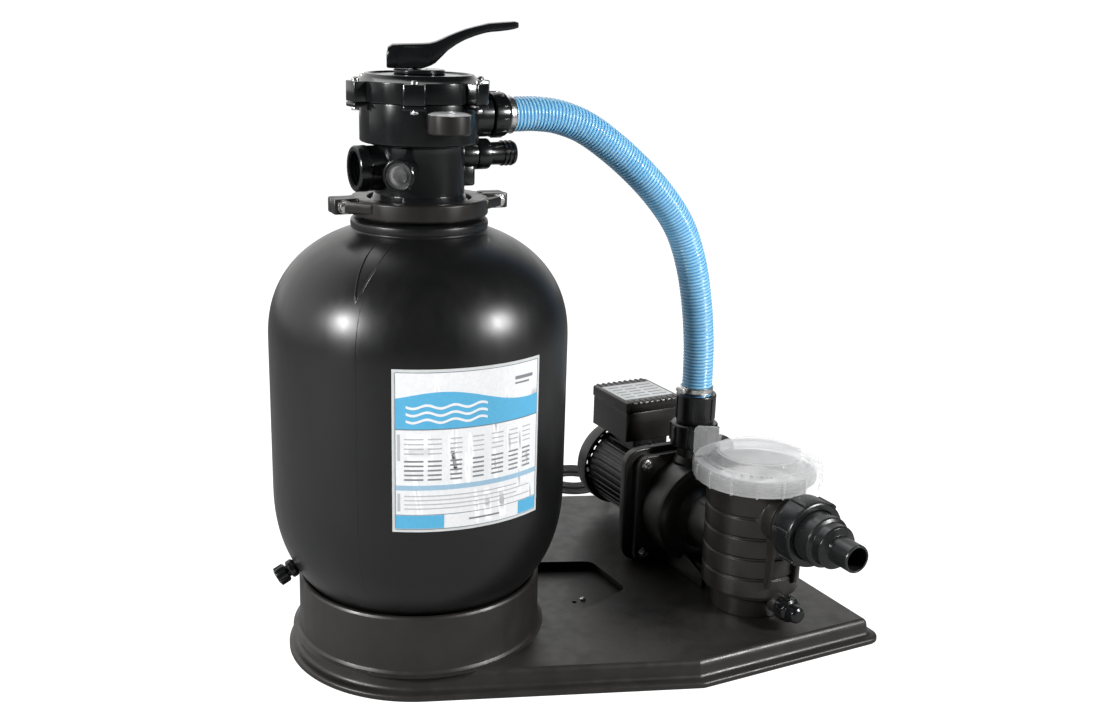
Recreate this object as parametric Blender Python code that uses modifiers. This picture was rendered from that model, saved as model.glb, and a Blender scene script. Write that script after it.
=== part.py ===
"""Pool sand-filter and pump set: a blow-moulded filter tank with a six-way top valve, a self-priming pump
with a clear-lidded strainer pot, the hose that joins them and the moulded base that carries both.

Metres, +Z up. The origin is on the floor under the middle of the set. The base's straight front edge runs
along X. The valve's ports lie on one line at PORT_HEADING, and the pump's axis is square to that line."""

import math

import bmesh
import bpy
from mathutils import Matrix, Vector

GAP = 0.0003
RUNNING_GAP = 0.0008
WELD = 0.00001

# Where the two machines stand
TANK_AXIS = Vector((-0.21736, -0.11546, 0.0))
PORT_HEADING = math.radians(20)
PUMP_HEADING = PORT_HEADING + math.radians(90)
PORT_LINE = Vector((math.cos(PORT_HEADING), math.sin(PORT_HEADING), 0))
PUMP_LINE = Vector((math.cos(PUMP_HEADING), math.sin(PUMP_HEADING), 0))
HOSE_REACH = 0.431
DISCHARGE_X = 0.154
POT_AXIS = TANK_AXIS + PORT_LINE * HOSE_REACH - PUMP_LINE * DISCHARGE_X

# Base
LIP_HEIGHT = 0.008
PLATEAU_HEIGHT = 0.030
PLATEAU_INSET = 0.016
SKIRT_RADIUS = 0.173
PEDESTAL_RADIUS = 0.158
PEDESTAL_HEIGHT = 0.106
PEDESTAL_BORE = 0.1500
PEDESTAL_ROOT = 0.002
POCKET_FLOOR = 0.016

# Tank
TANK_RADIUS = 0.1875
TANK_WALL = 0.004
BARREL_BOTTOM = 0.228
BARREL_TOP = 0.421
DOME_BOTTOM = 0.048
NECK_RADIUS = 0.074
NECK_BORE = 0.060
SHOULDER_RISE = 0.147
SHOULDER_POWER = 2.3
COLLAR_RADIUS = 0.084
COLLAR_BOTTOM = 0.5574
COLLAR_TOP = 0.572
FLANGE_RADIUS = 0.078
TANK_FLANGE_BOTTOM = 0.5785
TANK_FLANGE_TOP = 0.583
NECK_SEAL_RADIUS = 0.068
DRAIN_HEADING = math.radians(195)
DRAIN_TILT = math.radians(28)
DRAIN_REACH = 0.163
DRAIN_HEIGHT = 0.129

# Valve
VALVE_FLANGE_TOP = 0.591
VALVE_SPIGOT_BOTTOM = 0.560
LOWER_RADIUS = 0.055
STEP_HEIGHT = 0.664
UPPER_RADIUS = 0.072
SEAT_HEIGHT = 0.672
BODY_TOP = 0.712
CHAMBER_RADIUS = 0.064
COVER_RADIUS = 0.076
COVER_TOP = 0.744
LUG_COUNT = 6
LUG_HEADING = math.radians(-96)
STEM_RADIUS = 0.008
STEM_HOLE = 0.0098
PIN_HEIGHT = 0.762
PIN_RADIUS = 0.003
WASHER_TOP = 0.749
HUB_TOP = 0.778
PUMP_PORT_HEIGHT = 0.694
RETURN_PORT_HEIGHT = 0.646
WASTE_PORT_HEIGHT = 0.633
WASTE_REACH = 0.084
SIGHT_HEADING = math.radians(-110)
SIGHT_HEIGHT = 0.631
GAUGE_HEADING = math.radians(-72)
GAUGE_REACH = 0.0985
GAUGE_RADIUS = 0.025
GAUGE_BOTTOM = 0.681
GAUGE_TOP = 0.703
CLAMP_HEADING = math.radians(17)
CLAMP_RADIUS = 0.084
CLAMP_BOTTOM = 0.576
CLAMP_TOP = 0.597
EAR_REACH = 0.112
EAR_BOTTOM = 0.580
EAR_TOP = 0.599
EAR_BOLT_REACH = 0.0985
EAR_BOLT_HEIGHT = 0.5895

# Pump, along its own axis: x runs from the strainer pot towards the motor
PUMP_AXIS_HEIGHT = 0.116
POT_RADIUS = 0.067
POT_BORE = 0.061
POT_BOTTOM = 0.062
POT_TOP = 0.228
POT_FLOOR = 0.070
BAND_COUNT = 5
BAND_PITCH = 0.029
BAND_BOTTOM = 0.064
RIM_RADIUS = 0.079
LID_RADIUS = 0.087
LID_BORE = 0.0805
LID_BOTTOM = 0.2175
LID_RIM_TOP = 0.241
LID_TOP = 0.255
WING_TOP = 0.284
WING_HEADING = math.radians(57)
DRAIN_PLUG_HEIGHT = 0.057
SUCTION_HEIGHT = 0.180
SUCTION_TIP = 0.208
DRUM_FRONT = 0.112
DRUM_RADIUS = 0.076
FLANGE_FRONT = 0.168
FLANGE_BACK = 0.182
BRACKET_BACK = 0.196
BOLT_OFFSET = 0.069
DISCHARGE_TOP = 0.292
MOTOR_RADIUS = 0.062
MOTOR_BACK = 0.352
SHAFT_RADIUS = 0.007
FIN_COUNT = 20
FAN_COVER_RADIUS = 0.068
FAN_COVER_FRONT = 0.3505
FAN_COVER_BACK = 0.382
BOX_FRONT = 0.262
BOX_BACK = 0.367
BOX_HALF_WIDTH = 0.048
BOX_BOTTOM = 0.186
BOX_TOP = 0.232
BOX_LID_TOP = 0.250
GLAND_HEIGHT = 0.212
GLAND_END = 0.392

# Hose and mains cable
HOSE_RADIUS = 0.022
HOSE_POINTS = 13
CABLE_RADIUS = 0.004
CABLE_POINTS = 24
COIL_CENTRE = (0.562, -0.029)
COIL_INNER = 0.032
COIL_OUTER = 0.056
COIL_HEIGHT = 0.0165
PLUG_RADIUS = 0.019

# Routes, by hand. The hose: distance from the tank axis along PORT_HEADING, and height.
HOSE_ROUTE = (
    (0.0996, 0.694), (0.131, 0.694), (0.160, 0.6937), (0.194, 0.6885), (0.236, 0.672), (0.292, 0.634),
    (0.344, 0.588), (0.384, 0.539), (0.407, 0.487), (0.421, 0.430), (0.429, 0.372), (0.431, 0.325),
    (0.431, 0.295), (0.431, 0.264),
)
# The mains cable, in the pump's own frame, from the gland down to the coil on the floor behind.
CABLE_ROUTE = (
    (0.3925, 0.000, 0.212), (0.412, 0.000, 0.211), (0.430, -0.003, 0.197), (0.4385, -0.010, 0.158),
    (0.440, -0.020, 0.110), (0.441, -0.030, 0.062), (0.447, -0.040, 0.026), (0.462, -0.052, 0.0075),
    (0.480, -0.063, 0.0042), (0.500, -0.0745, 0.0042), (0.520, -0.0840, 0.0042), (0.541, -0.0905, 0.0042),
)

# Frames: a matrix that carries a machine's own axes into the world
TANK = Matrix.Translation(TANK_AXIS)
PORT_FRAME = TANK @ Matrix.Rotation(PORT_HEADING, 4, "Z")
PUMP = Matrix.Translation(POT_AXIS) @ Matrix.Rotation(PUMP_HEADING, 4, "Z")


def clear_scene():
    for obj in list(bpy.data.objects):
        bpy.data.objects.remove(obj, do_unlink=True)


def collection(name):
    made = bpy.data.collections.new(name)
    bpy.context.scene.collection.children.link(made)
    return made


def material(name, colour, roughness, metallic=0.0, alpha=1.0):
    made = bpy.data.materials.new(name)
    made.use_nodes = True
    shader = made.node_tree.nodes["Principled BSDF"]
    shader.inputs["Base Color"].default_value = (*colour, 1.0)
    shader.inputs["Roughness"].default_value = roughness
    shader.inputs["Metallic"].default_value = metallic
    shader.inputs["Alpha"].default_value = alpha
    return made


clear_scene()
PART = collection("pool_filter_set")
BLACK = material("black plastic", (0.012, 0.013, 0.014), 0.35)
TANK_BLACK = material("tank plastic", (0.016, 0.016, 0.017), 0.42)
BASE_BROWN = material("base plastic", (0.075, 0.068, 0.062), 0.55)
CLAMP_BROWN = material("clamp plastic", (0.10, 0.09, 0.08), 0.45)
INNER_WHITE = material("inner plastic", (0.75, 0.75, 0.72), 0.5)
CLEAR = material("clear plastic", (0.85, 0.88, 0.88), 0.1, alpha=0.3)
HOSE_BLUE = material("hose", (0.20, 0.50, 0.80), 0.3, alpha=0.8)
STEEL = material("stainless steel", (0.6, 0.6, 0.6), 0.3, metallic=1.0)
IRON = material("laminations", (0.25, 0.25, 0.26), 0.5, metallic=1.0)
ALLOY = material("motor paint", (0.02, 0.02, 0.022), 0.45)
RUBBER = material("rubber", (0.02, 0.02, 0.02), 0.8)
SIGNAL = material("needle red", (0.6, 0.05, 0.03), 0.5)


def world(frame, x, y, z):
    return frame @ Vector((x, y, z))


def along(point, direction):
    """A frame whose +Z runs along direction, from point."""
    turn = Vector((0, 0, 1)).rotation_difference(Vector(direction).normalized())
    return Matrix.Translation(point) @ turn.to_matrix().to_4x4()


def radial(heading, height, reach=0.0):
    """A frame whose +Z points outwards from the tank axis at a heading and a height."""
    out = Vector((math.cos(heading), math.sin(heading), 0))
    return along(TANK_AXIS + out * reach + Vector((0, 0, height)), out)


def pump_along(x, height, forwards=False):
    """A frame on the pump's axis plane whose +Z runs towards the motor, or towards the suction port."""
    turn = Matrix.Rotation(math.radians(-90 if forwards else 90), 4, "Y")
    return PUMP @ Matrix.Translation((x, 0, height)) @ turn


def pump_upright(x, y=0.0):
    return PUMP @ Matrix.Translation((x, y, 0))


def place(name, mesh, frame, finish):
    obj = bpy.data.objects.new(name, mesh)
    obj.matrix_world = frame
    PART.objects.link(obj)
    mesh.materials.clear()
    mesh.materials.append(finish)
    return obj


def baked(obj):
    """The object's evaluated mesh, welded, in place of its modifiers or its curve."""
    bpy.context.view_layer.update()
    shown = obj.evaluated_get(bpy.context.evaluated_depsgraph_get())
    mesh = bpy.data.meshes.new_from_object(shown)
    bm = bmesh.new()
    bm.from_mesh(mesh)
    bmesh.ops.remove_doubles(bm, verts=bm.verts, dist=WELD)
    bm.to_mesh(mesh)
    bm.free()
    name, frame, finish = obj.name, obj.matrix_world.copy(), obj.data.materials[0]
    bpy.data.objects.remove(obj, do_unlink=True)
    solid = place(name, mesh, frame, finish)
    solid.name = name
    return solid


def combine(body, tools, operation):
    """Joins or cuts a body with tools, and removes the tools."""
    for tool in tools:
        step = body.modifiers.new(operation.lower(), "BOOLEAN")
        step.operation = operation
        step.object = tool
        body = baked(body)
        bpy.data.objects.remove(tool, do_unlink=True)
    return body


def union(body, *tools):
    return combine(body, tools, "UNION")


def cut(body, *tools):
    return combine(body, tools, "DIFFERENCE")


def turned(name, profile, frame, finish=BLACK, segments=32):
    """A turned solid. The profile is (radius, height) pairs that run down the outer side; it closes on
    itself, or starts and ends on the axis."""
    on_axis = profile[0][0] == 0 and profile[-1][0] == 0
    bm = bmesh.new()
    points = [bm.verts.new((r, 0, z)) for r, z in profile]
    ends = points[1:] if on_axis else points[1:] + points[:1]
    for first, second in zip(points, ends):
        bm.edges.new((first, second))
    mesh = bpy.data.meshes.new(name)
    bm.to_mesh(mesh)
    bm.free()
    obj = place(name, mesh, frame, finish)
    screw = obj.modifiers.new("turn", "SCREW")
    screw.steps = segments
    screw.render_steps = segments
    screw.use_merge_vertices = True
    screw.merge_threshold = WELD
    screw.use_smooth_shade = False
    return baked(obj)


def rod(name, radius, low, high, frame, finish=BLACK, segments=24):
    return turned(name, [(0, high), (radius, high), (radius, low), (0, low)], frame, finish, segments)


def pipe(name, outer, inner, low, high, frame, finish=BLACK, segments=32):
    loop = [(outer, high), (outer, low), (inner, low), (inner, high)]
    return turned(name, loop, frame, finish, segments)


def prism(name, outline, low, high, frame, finish=BLACK):
    """A flat outline in the frame's XY plane, from one height to another."""
    curve = bpy.data.curves.new(name, "CURVE")
    curve.dimensions = "2D"
    curve.fill_mode = "BOTH"
    curve.extrude = (high - low) / 2
    spline = curve.splines.new("POLY")
    spline.points.add(len(outline) - 1)
    for point, (x, y) in zip(spline.points, outline):
        point.co = (x, y, 0, 1)
    spline.use_cyclic_u = True
    obj = bpy.data.objects.new(name, curve)
    obj.matrix_world = frame @ Matrix.Translation((0, 0, (low + high) / 2))
    curve.materials.append(finish)
    PART.objects.link(obj)
    return baked(obj)


def block(name, low, high, frame, finish=BLACK):
    """A box between two corners."""
    bm = bmesh.new()
    bmesh.ops.create_cube(bm, size=1)
    size = [b - a for a, b in zip(low, high)]
    centre = [(a + b) / 2 for a, b in zip(low, high)]
    bmesh.ops.scale(bm, vec=size, verts=bm.verts)
    bmesh.ops.translate(bm, vec=centre, verts=bm.verts)
    mesh = bpy.data.meshes.new(name)
    bm.to_mesh(mesh)
    bm.free()
    return place(name, mesh, frame, finish)


def tube(name, points, radius, finish, bevel=2):
    """A solid round tube through world points."""
    curve = bpy.data.curves.new(name, "CURVE")
    curve.dimensions = "3D"
    curve.bevel_depth = radius
    curve.bevel_resolution = bevel
    curve.use_fill_caps = True
    curve.resolution_u = 1
    spline = curve.splines.new("POLY")
    spline.points.add(len(points) - 1)
    for point, place_ in zip(spline.points, points):
        point.co = (*place_, 1)
    obj = bpy.data.objects.new(name, curve)
    curve.materials.append(finish)
    PART.objects.link(obj)
    return baked(obj)


def smooth_route(route, count):
    """Points evenly spread along the smooth curve through a route's own points."""
    knots = [Vector(p) for p in route]
    padded = [2 * knots[0] - knots[1], *knots, 2 * knots[-1] - knots[-2]]
    fine = []
    for a, b, c, d in zip(padded, padded[1:], padded[2:], padded[3:]):
        for step in range(16):
            t = step / 16
            fine.append(0.5 * (2 * b + (c - a) * t + (2 * a - 5 * b + 4 * c - d) * t**2
                               + (3 * b - a - 3 * c + d) * t**3))
    fine.append(knots[-1])
    travel = [0.0]
    for first, second in zip(fine, fine[1:]):
        travel.append(travel[-1] + (second - first).length)
    spread = []
    place_ = 0
    for index in range(count):
        target = travel[-1] * index / (count - 1)
        while place_ < len(travel) - 2 and travel[place_ + 1] < target:
            place_ += 1
        share = (target - travel[place_]) / (travel[place_ + 1] - travel[place_])
        spread.append(fine[place_].lerp(fine[place_ + 1], share))
    return spread


def arc(centre, radius, start, stop, count):
    """Points on a circle, angles in degrees."""
    angles = [math.radians(start + (stop - start) * i / (count - 1)) for i in range(count)]
    return [(centre[0] + radius * math.cos(a), centre[1] + radius * math.sin(a)) for a in angles]


def corner_arc(before, corner, after, radius, count=4):
    """A convex corner rounded between its two neighbours."""
    here = Vector(corner)
    one = (Vector(before) - here).normalized()
    two = (Vector(after) - here).normalized()
    half = one.angle(two) / 2
    centre = here + (one + two).normalized() * radius / math.sin(half)
    start = here + one * radius / math.tan(half) - centre
    stop = here + two * radius / math.tan(half) - centre
    swing = start.angle_signed(stop)
    return [tuple(centre + Matrix.Rotation(-swing * i / count, 2) @ start) for i in range(count + 1)]


def rounded(corners, radius):
    """A closed convex outline with every corner rounded."""
    outline = []
    for before, corner, after in zip(corners[-1:] + corners[:-1], corners, corners[1:] + corners[:1]):
        outline += corner_arc(before, corner, after, radius)
    return outline


def inset(outline, distance):
    """A convex, anticlockwise outline moved inwards."""
    moved = []
    for before, here, after in zip(outline[-1:] + outline[:-1], outline, outline[1:] + outline[:1]):
        one = (Vector(here) - Vector(before)).normalized()
        two = (Vector(after) - Vector(here)).normalized()
        inward_one = Vector((-one.y, one.x))
        inward_two = Vector((-two.y, two.x))
        step = distance / (1 + inward_one.dot(inward_two))
        moved.append(tuple(Vector(here) + (inward_one + inward_two) * step))
    return moved


def bow(radius, depth, power, steps, level):
    """A dome's profile from its rim towards its pole: (radius, height) with the rim at level."""
    points = []
    for i in range(steps + 1):
        angle = math.radians(90) * i / steps
        r = radius * math.cos(angle) ** (2 / power)
        points.append((r, level + depth * math.sin(angle) ** (2 / power)))
    return points


# ---------------------------------------------------------------- base

def base_outline():
    """The lip's outline from above, anticlockwise, about the tank axis."""
    skirt = arc((0, 0), SKIRT_RADIUS, 134, 270, 18)
    corners = [skirt[-1], (0.352, -SKIRT_RADIUS), (0.629, -0.074), (0.445, 0.430), (0.190, 0.430), skirt[0]]
    outline = skirt
    for before, corner, after in zip(corners, corners[1:], corners[2:]):
        outline = outline + corner_arc(before, corner, after, 0.022)
    return outline


def pocket_outline():
    """The recess beside the pedestal, with one side round the ring."""
    ring = arc((0, 0), 0.170, 38, -2, 7)
    return ring + [(0.212, -0.011), (0.248, 0.012), (0.296, 0.056), (0.261, 0.151), (0.150, 0.156)]


def base_platform():
    outline = base_outline()
    body = prism("base_platform", outline, 0, LIP_HEIGHT, TANK, BASE_BROWN)
    plateau = prism("plateau", inset(outline, PLATEAU_INSET), LIP_HEIGHT / 2, PLATEAU_HEIGHT, TANK)
    ring = pipe("ring", PEDESTAL_RADIUS, PEDESTAL_BORE, PLATEAU_HEIGHT - PEDESTAL_ROOT, PEDESTAL_HEIGHT,
                TANK, segments=32)
    pocket = prism("pocket", pocket_outline(), POCKET_FLOOR, PLATEAU_HEIGHT + LIP_HEIGHT, TANK)
    return cut(union(body, plateau, ring), pocket)


# ---------------------------------------------------------------- tank

def tank_profile():
    shoulder = bow(TANK_RADIUS, SHOULDER_RISE, SHOULDER_POWER, 8, BARREL_TOP)
    shoulder = [p for p in shoulder if p[0] > COLLAR_RADIUS + 0.003]
    bottom = bow(TANK_RADIUS, DOME_BOTTOM - BARREL_BOTTOM, 2.3, 5, BARREL_BOTTOM)
    outer = [(NECK_RADIUS, TANK_FLANGE_BOTTOM), (NECK_RADIUS, COLLAR_TOP),
             (COLLAR_RADIUS - 0.003, COLLAR_TOP), (COLLAR_RADIUS, COLLAR_TOP - 0.003),
             (COLLAR_RADIUS, COLLAR_BOTTOM)]
    outer += shoulder[::-1] + bottom[:-1] + [(0, DOME_BOTTOM)]
    inner_radius = TANK_RADIUS - TANK_WALL
    inner_bottom = bow(inner_radius, DOME_BOTTOM - BARREL_BOTTOM + TANK_WALL, 2.3, 5, BARREL_BOTTOM)
    inner_shoulder = bow(inner_radius, SHOULDER_RISE - TANK_WALL, SHOULDER_POWER, 8, BARREL_TOP)
    inner_shoulder = [p for p in inner_shoulder if p[0] > NECK_BORE + 0.012]
    inner = [(0, DOME_BOTTOM + TANK_WALL)] + inner_bottom[:-1][::-1] + inner_shoulder
    groove_in = NECK_SEAL_RADIUS - 0.003
    groove_out = NECK_SEAL_RADIUS + 0.003
    groove_floor = TANK_FLANGE_TOP - 0.0045
    mouth = [(NECK_BORE, 0.562), (NECK_BORE, TANK_FLANGE_TOP), (groove_in, TANK_FLANGE_TOP),
             (groove_in, groove_floor), (groove_out, groove_floor), (groove_out, TANK_FLANGE_TOP),
             (FLANGE_RADIUS, TANK_FLANGE_TOP), (FLANGE_RADIUS, TANK_FLANGE_BOTTOM)]
    return inner + mouth + outer


def filter_tank():
    tank = turned("filter_tank", tank_profile(), TANK, TANK_BLACK, 32)
    return cut(tank, rod("hole", 0.0082, -0.030, 0.020, drain_frame(), segments=16))


def drain_frame():
    """A frame on the tank's rounded foot whose +Z runs out of the wall and a little down."""
    out = Vector((math.cos(DRAIN_HEADING), math.sin(DRAIN_HEADING), 0))
    start = TANK_AXIS + out * DRAIN_REACH + Vector((0, 0, DRAIN_HEIGHT))
    return along(start, out * math.cos(DRAIN_TILT) - Vector((0, 0, math.sin(DRAIN_TILT))))


def tank_drain():
    frame = drain_frame()
    spigot = [(0.0078, 0.022), (0.0078, 0.013), (0.0115, 0.011), (0.0115, 0.005), (0.0078, 0.004),
              (0.0078, -0.010), (0.0042, -0.010), (0.0042, 0.022)]
    turned("tank_drain_spigot", spigot, frame, BLACK, 16)
    cap = [(0, 0.030), (0.0095, 0.030), (0.0112, 0.028), (0.0112, 0.015), (0.0082, 0.015), (0.0082, 0.0235),
           (0, 0.0235)]
    body = turned("tank_drain_cap", cap, frame, BLACK, 16)
    turns = [Matrix.Rotation(math.radians(angle), 4, "Z") for angle in (0, 120, 240)]
    grips = [block("grip", (-0.002, 0.009, 0.017), (0.002, 0.0125, 0.029), frame @ turn) for turn in turns]
    union(body, *grips)


def underdrain():
    pipe("standpipe", 0.025, 0.0225, 0.0893, 0.655, TANK, INNER_WHITE, 24)
    hub = turned("lateral_collector", [(0.032, 0.100), (0.032, 0.070), (0.0225, 0.070), (0.0225, 0.089),
                                       (0.0258, 0.089), (0.0258, 0.100)], TANK, INNER_WHITE, 24)
    for index in range(6):
        arm = rod("lateral", 0.006, 0.0275, 0.094, radial(index * math.radians(60), 0.080), segments=8)
        hub = union(hub, arm)


def seal_ring(name, radius, thickness, height, frame):
    """A round-section ring with its middle at a height, six-sided across."""
    half = thickness / 2
    section = [(radius + half * math.cos(math.radians(a)), height + half * math.sin(math.radians(a)))
               for a in range(90, -270, -60)]
    return turned(name, section, frame, RUBBER, 24)


def neck_seal():
    seal_ring("neck_o_ring", NECK_SEAL_RADIUS, 0.0042, TANK_FLANGE_TOP - 0.0022, TANK)


# ---------------------------------------------------------------- clamp

def clamp_half(name, side):
    """One half of the ring that holds the valve to the tank, side +1 or -1 of the split."""
    lip_in = NECK_RADIUS + 0.0008
    groove = FLANGE_RADIUS + 0.0006
    groove_low = TANK_FLANGE_BOTTOM - GAP
    groove_high = VALVE_FLANGE_TOP + GAP
    channel = [(CLAMP_RADIUS, CLAMP_TOP), (CLAMP_RADIUS, CLAMP_BOTTOM), (lip_in, CLAMP_BOTTOM),
               (lip_in, groove_low), (groove, groove_low), (groove, groove_high), (0.066, groove_high),
               (0.066, CLAMP_TOP)]
    frame = TANK @ Matrix.Rotation(CLAMP_HEADING, 4, "Z")
    ring = turned(name, channel, frame, CLAMP_BROWN, 28)
    far = 0.2
    ring = cut(ring, block("half", (-far, -far if side > 0 else -0.0006, 0.5),
                           (far, 0.0006 if side > 0 else far, 0.7), frame))
    for end in (-1, 1):
        low_x, high_x = sorted((end * 0.0815, end * EAR_REACH))
        low_y, high_y = sorted((side * 0.0006, side * 0.015))
        ear = block("ear", (low_x, low_y, EAR_BOTTOM), (high_x, high_y, EAR_TOP), frame, CLAMP_BROWN)
        middle = (end * EAR_BOLT_REACH, 0, EAR_BOLT_HEIGHT)
        hole = rod("hole", 0.0043, -0.05, 0.05, frame @ along(middle, (0, 1, 0)),
                   segments=12)
        ring = cut(union(ring, ear), hole)
    return ring


def clamp():
    clamp_half("clamp_half_rear", 1)
    clamp_half("clamp_half_front", -1)
    frame = TANK @ Matrix.Rotation(CLAMP_HEADING, 4, "Z")
    for name, end in (("clamp_bolt_left", -1), ("clamp_bolt_right", 1)):
        axis = frame @ along((end * EAR_BOLT_REACH, 0, EAR_BOLT_HEIGHT), (0, -1, 0))
        head = [(0, 0.0205), (0.0072, 0.0205), (0.0072, 0.0153), (0.004, 0.0153), (0.004, -0.0153),
                (0.0068, -0.0153), (0.0068, -0.0215), (0, -0.0215)]
        turned(name, head, axis, STEEL, 12)


# ---------------------------------------------------------------- valve

def lug_frames():
    turns = [LUG_HEADING + index * math.tau / LUG_COUNT for index in range(LUG_COUNT)]
    return [TANK @ Matrix.Rotation(turn, 4, "Z") for turn in turns]


def lugs(low, high):
    return [block("lug", (0.060, -0.013, low), (0.090, 0.013, high), frame) for frame in lug_frames()]


def valve_body():
    spigot = 0.0575
    profile = [(0, BODY_TOP), (UPPER_RADIUS, BODY_TOP), (UPPER_RADIUS, STEP_HEIGHT),
               (LOWER_RADIUS, STEP_HEIGHT - 0.004), (LOWER_RADIUS, 0.600), (0.062, VALVE_FLANGE_TOP),
               (FLANGE_RADIUS, VALVE_FLANGE_TOP), (FLANGE_RADIUS, TANK_FLANGE_TOP + GAP),
               (spigot, TANK_FLANGE_TOP + GAP), (spigot, VALVE_SPIGOT_BOTTOM), (0, VALVE_SPIGOT_BOTTOM)]
    body = turned("valve_body", profile, TANK, BLACK, 28)
    pump_port = radial(PORT_HEADING, PUMP_PORT_HEIGHT)
    return_port = radial(PORT_HEADING, RETURN_PORT_HEIGHT)
    waste_port = radial(PORT_HEADING + math.pi, WASTE_PORT_HEIGHT)
    sight = radial(SIGHT_HEADING, SIGHT_HEIGHT)
    body = union(body, *lugs(0.706, BODY_TOP))
    collar = union(rod("collar", 0.027, 0.058, 0.0885, pump_port, segments=24),
                   rod("pump_neck", 0.0215, 0.0845, 0.0960, pump_port, segments=20))
    collar = cut(collar, block("under_cover", (0, -0.05, BODY_TOP - WELD), (0.0912, 0.05, 0.8), PORT_FRAME))
    body = union(body, collar,
                 rod("return_neck", 0.017, 0.045, 0.072, return_port, segments=16),
                 rod("waste_neck", 0.0275, 0.040, WASTE_REACH, waste_port, segments=20),
                 rod("sight_neck", 0.0155, 0.045, 0.074, sight, segments=16))
    chamber = rod("chamber", CHAMBER_RADIUS, SEAT_HEIGHT, BODY_TOP + 0.01, TANK, segments=28)
    bore = rod("bore", 0.0258, 0.55, SEAT_HEIGHT + 0.005, TANK)
    body = cut(body, chamber, bore)
    body = cut(body, rod("pump_bore", 0.0155, 0.050, 0.12, pump_port, segments=16),
               rod("return_bore", 0.0100, 0.033, 0.08, return_port, segments=12),
               rod("waste_bore", 0.021, 0.052, 0.10, waste_port, segments=20),
               rod("waste_throat", 0.0100, 0.033, 0.055, waste_port, segments=12),
               rod("sight_well", 0.0115, 0.062, 0.080, sight, segments=16),
               rod("gauge_tap", 0.0078, 0.060, 0.080, radial(GAUGE_HEADING, 0.692), segments=12))
    ducts = []
    for quarter in range(4):
        bottom = (0.640, 0.55, 0.628, 0.55)[quarter]
        frame = TANK @ Matrix.Rotation(PORT_HEADING + quarter * math.pi / 2, 4, "Z")
        ducts.append(block("duct", (0.034, -0.008, bottom), (0.048, 0.008, SEAT_HEIGHT + 0.005), frame))
    return cut(body, *ducts)


def valve_cover():
    low = BODY_TOP + GAP
    profile = [(0, COVER_TOP), (0.064, COVER_TOP), (0.072, COVER_TOP - 0.006), (COVER_RADIUS, COVER_TOP - 0.008),
               (COVER_RADIUS, low), (0, low)]
    cover = turned("valve_cover", profile, TANK, BLACK, 28)
    cover = union(cover, *lugs(low, COVER_TOP - 0.008))
    spring_well = rod("well", 0.022, low - 0.01, COVER_TOP - 0.006, TANK)
    stem_hole = rod("hole", STEM_HOLE, 0.6, 0.8, TANK)
    return cut(cover, spring_well, stem_hole)


def valve_rotor():
    low = SEAT_HEIGHT + GAP
    profile = [(0, 0.771), (STEM_RADIUS, 0.771), (STEM_RADIUS, 0.681), (0.0625, 0.681), (0.0625, low),
               (0, low)]
    rotor = turned("valve_rotor", profile, TANK, INNER_WHITE, 24)
    window = TANK @ Matrix.Translation((0.041, 0, 0))
    port = block("port", (-0.012, -0.014, low - 0.01), (0.012, 0.014, 0.70), window)
    pin_hole = rod("pin_hole", PIN_RADIUS + GAP, -0.05, 0.05, along(world(TANK, 0, 0, PIN_HEIGHT), (0, 1, 0)),
                   segments=12)
    return cut(rotor, port, pin_hole)


def rotor_spring():
    wire = 0.0016
    coil = 0.0165
    low = 0.6830
    high = COVER_TOP - 0.0085
    turns = 4
    steps = turns * 10
    points = []
    for step in range(steps + 1):
        angle = math.tau * turns * step / steps
        height = low + (high - low) * step / steps
        points.append(world(TANK, coil * math.cos(angle), coil * math.sin(angle), height))
    return tube("rotor_spring", points, wire, STEEL, bevel=0)


def handle_outline():
    """The handle from the side: x from the pin outwards, y as height."""
    foot = WASHER_TOP + GAP
    return [(-0.039, foot), (0.006, foot), (0.020, 0.7560), (0.036, 0.7735), (0.064, 0.7890), (0.080, 0.7930),
            (0.115, 0.7975), (0.118, 0.8005), (0.1145, 0.8075), (0.079, 0.8040), (0.058, 0.7985),
            (0.030, 0.7875), (0.016, 0.7810), (-0.030, HUB_TOP), (-0.039, 0.7700)]


def selector():
    pipe("thrust_washer", 0.031, STEM_HOLE, COVER_TOP + GAP, WASHER_TOP, TANK, BLACK)
    side = TANK @ Matrix.Rotation(math.radians(90), 4, "X")
    handle = prism("valve_handle", handle_outline(), -0.014, 0.014, side, BLACK)
    well = block("well", (-0.0135, -0.0098, 0.74), (0.0135, 0.0098, 0.7735), TANK)
    hole = rod("hole", PIN_RADIUS + GAP, -0.05, 0.05, along(world(TANK, 0, 0, PIN_HEIGHT), (0, 1, 0)),
               segments=12)
    cut(handle, well, hole)
    rod("handle_pin", PIN_RADIUS, -0.0138, 0.0138, along(world(TANK, 0, 0, PIN_HEIGHT), (0, 1, 0)), STEEL, 12)


def sight_glass():
    frame = radial(SIGHT_HEADING, SIGHT_HEIGHT)
    pipe("sight_glass_ring", 0.0185, 0.0158, 0.066, 0.0805, frame, BLACK, 24)
    dome = [(0, 0.083), (0.007, 0.0825), (0.012, 0.0785), (0.0155, 0.0785), (0.0155, 0.0743), (0.0113, 0.0743),
            (0.0105, 0.0765), (0.006, 0.0795), (0, 0.080)]
    turned("sight_glass", dome, frame, CLEAR, 20)


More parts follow.
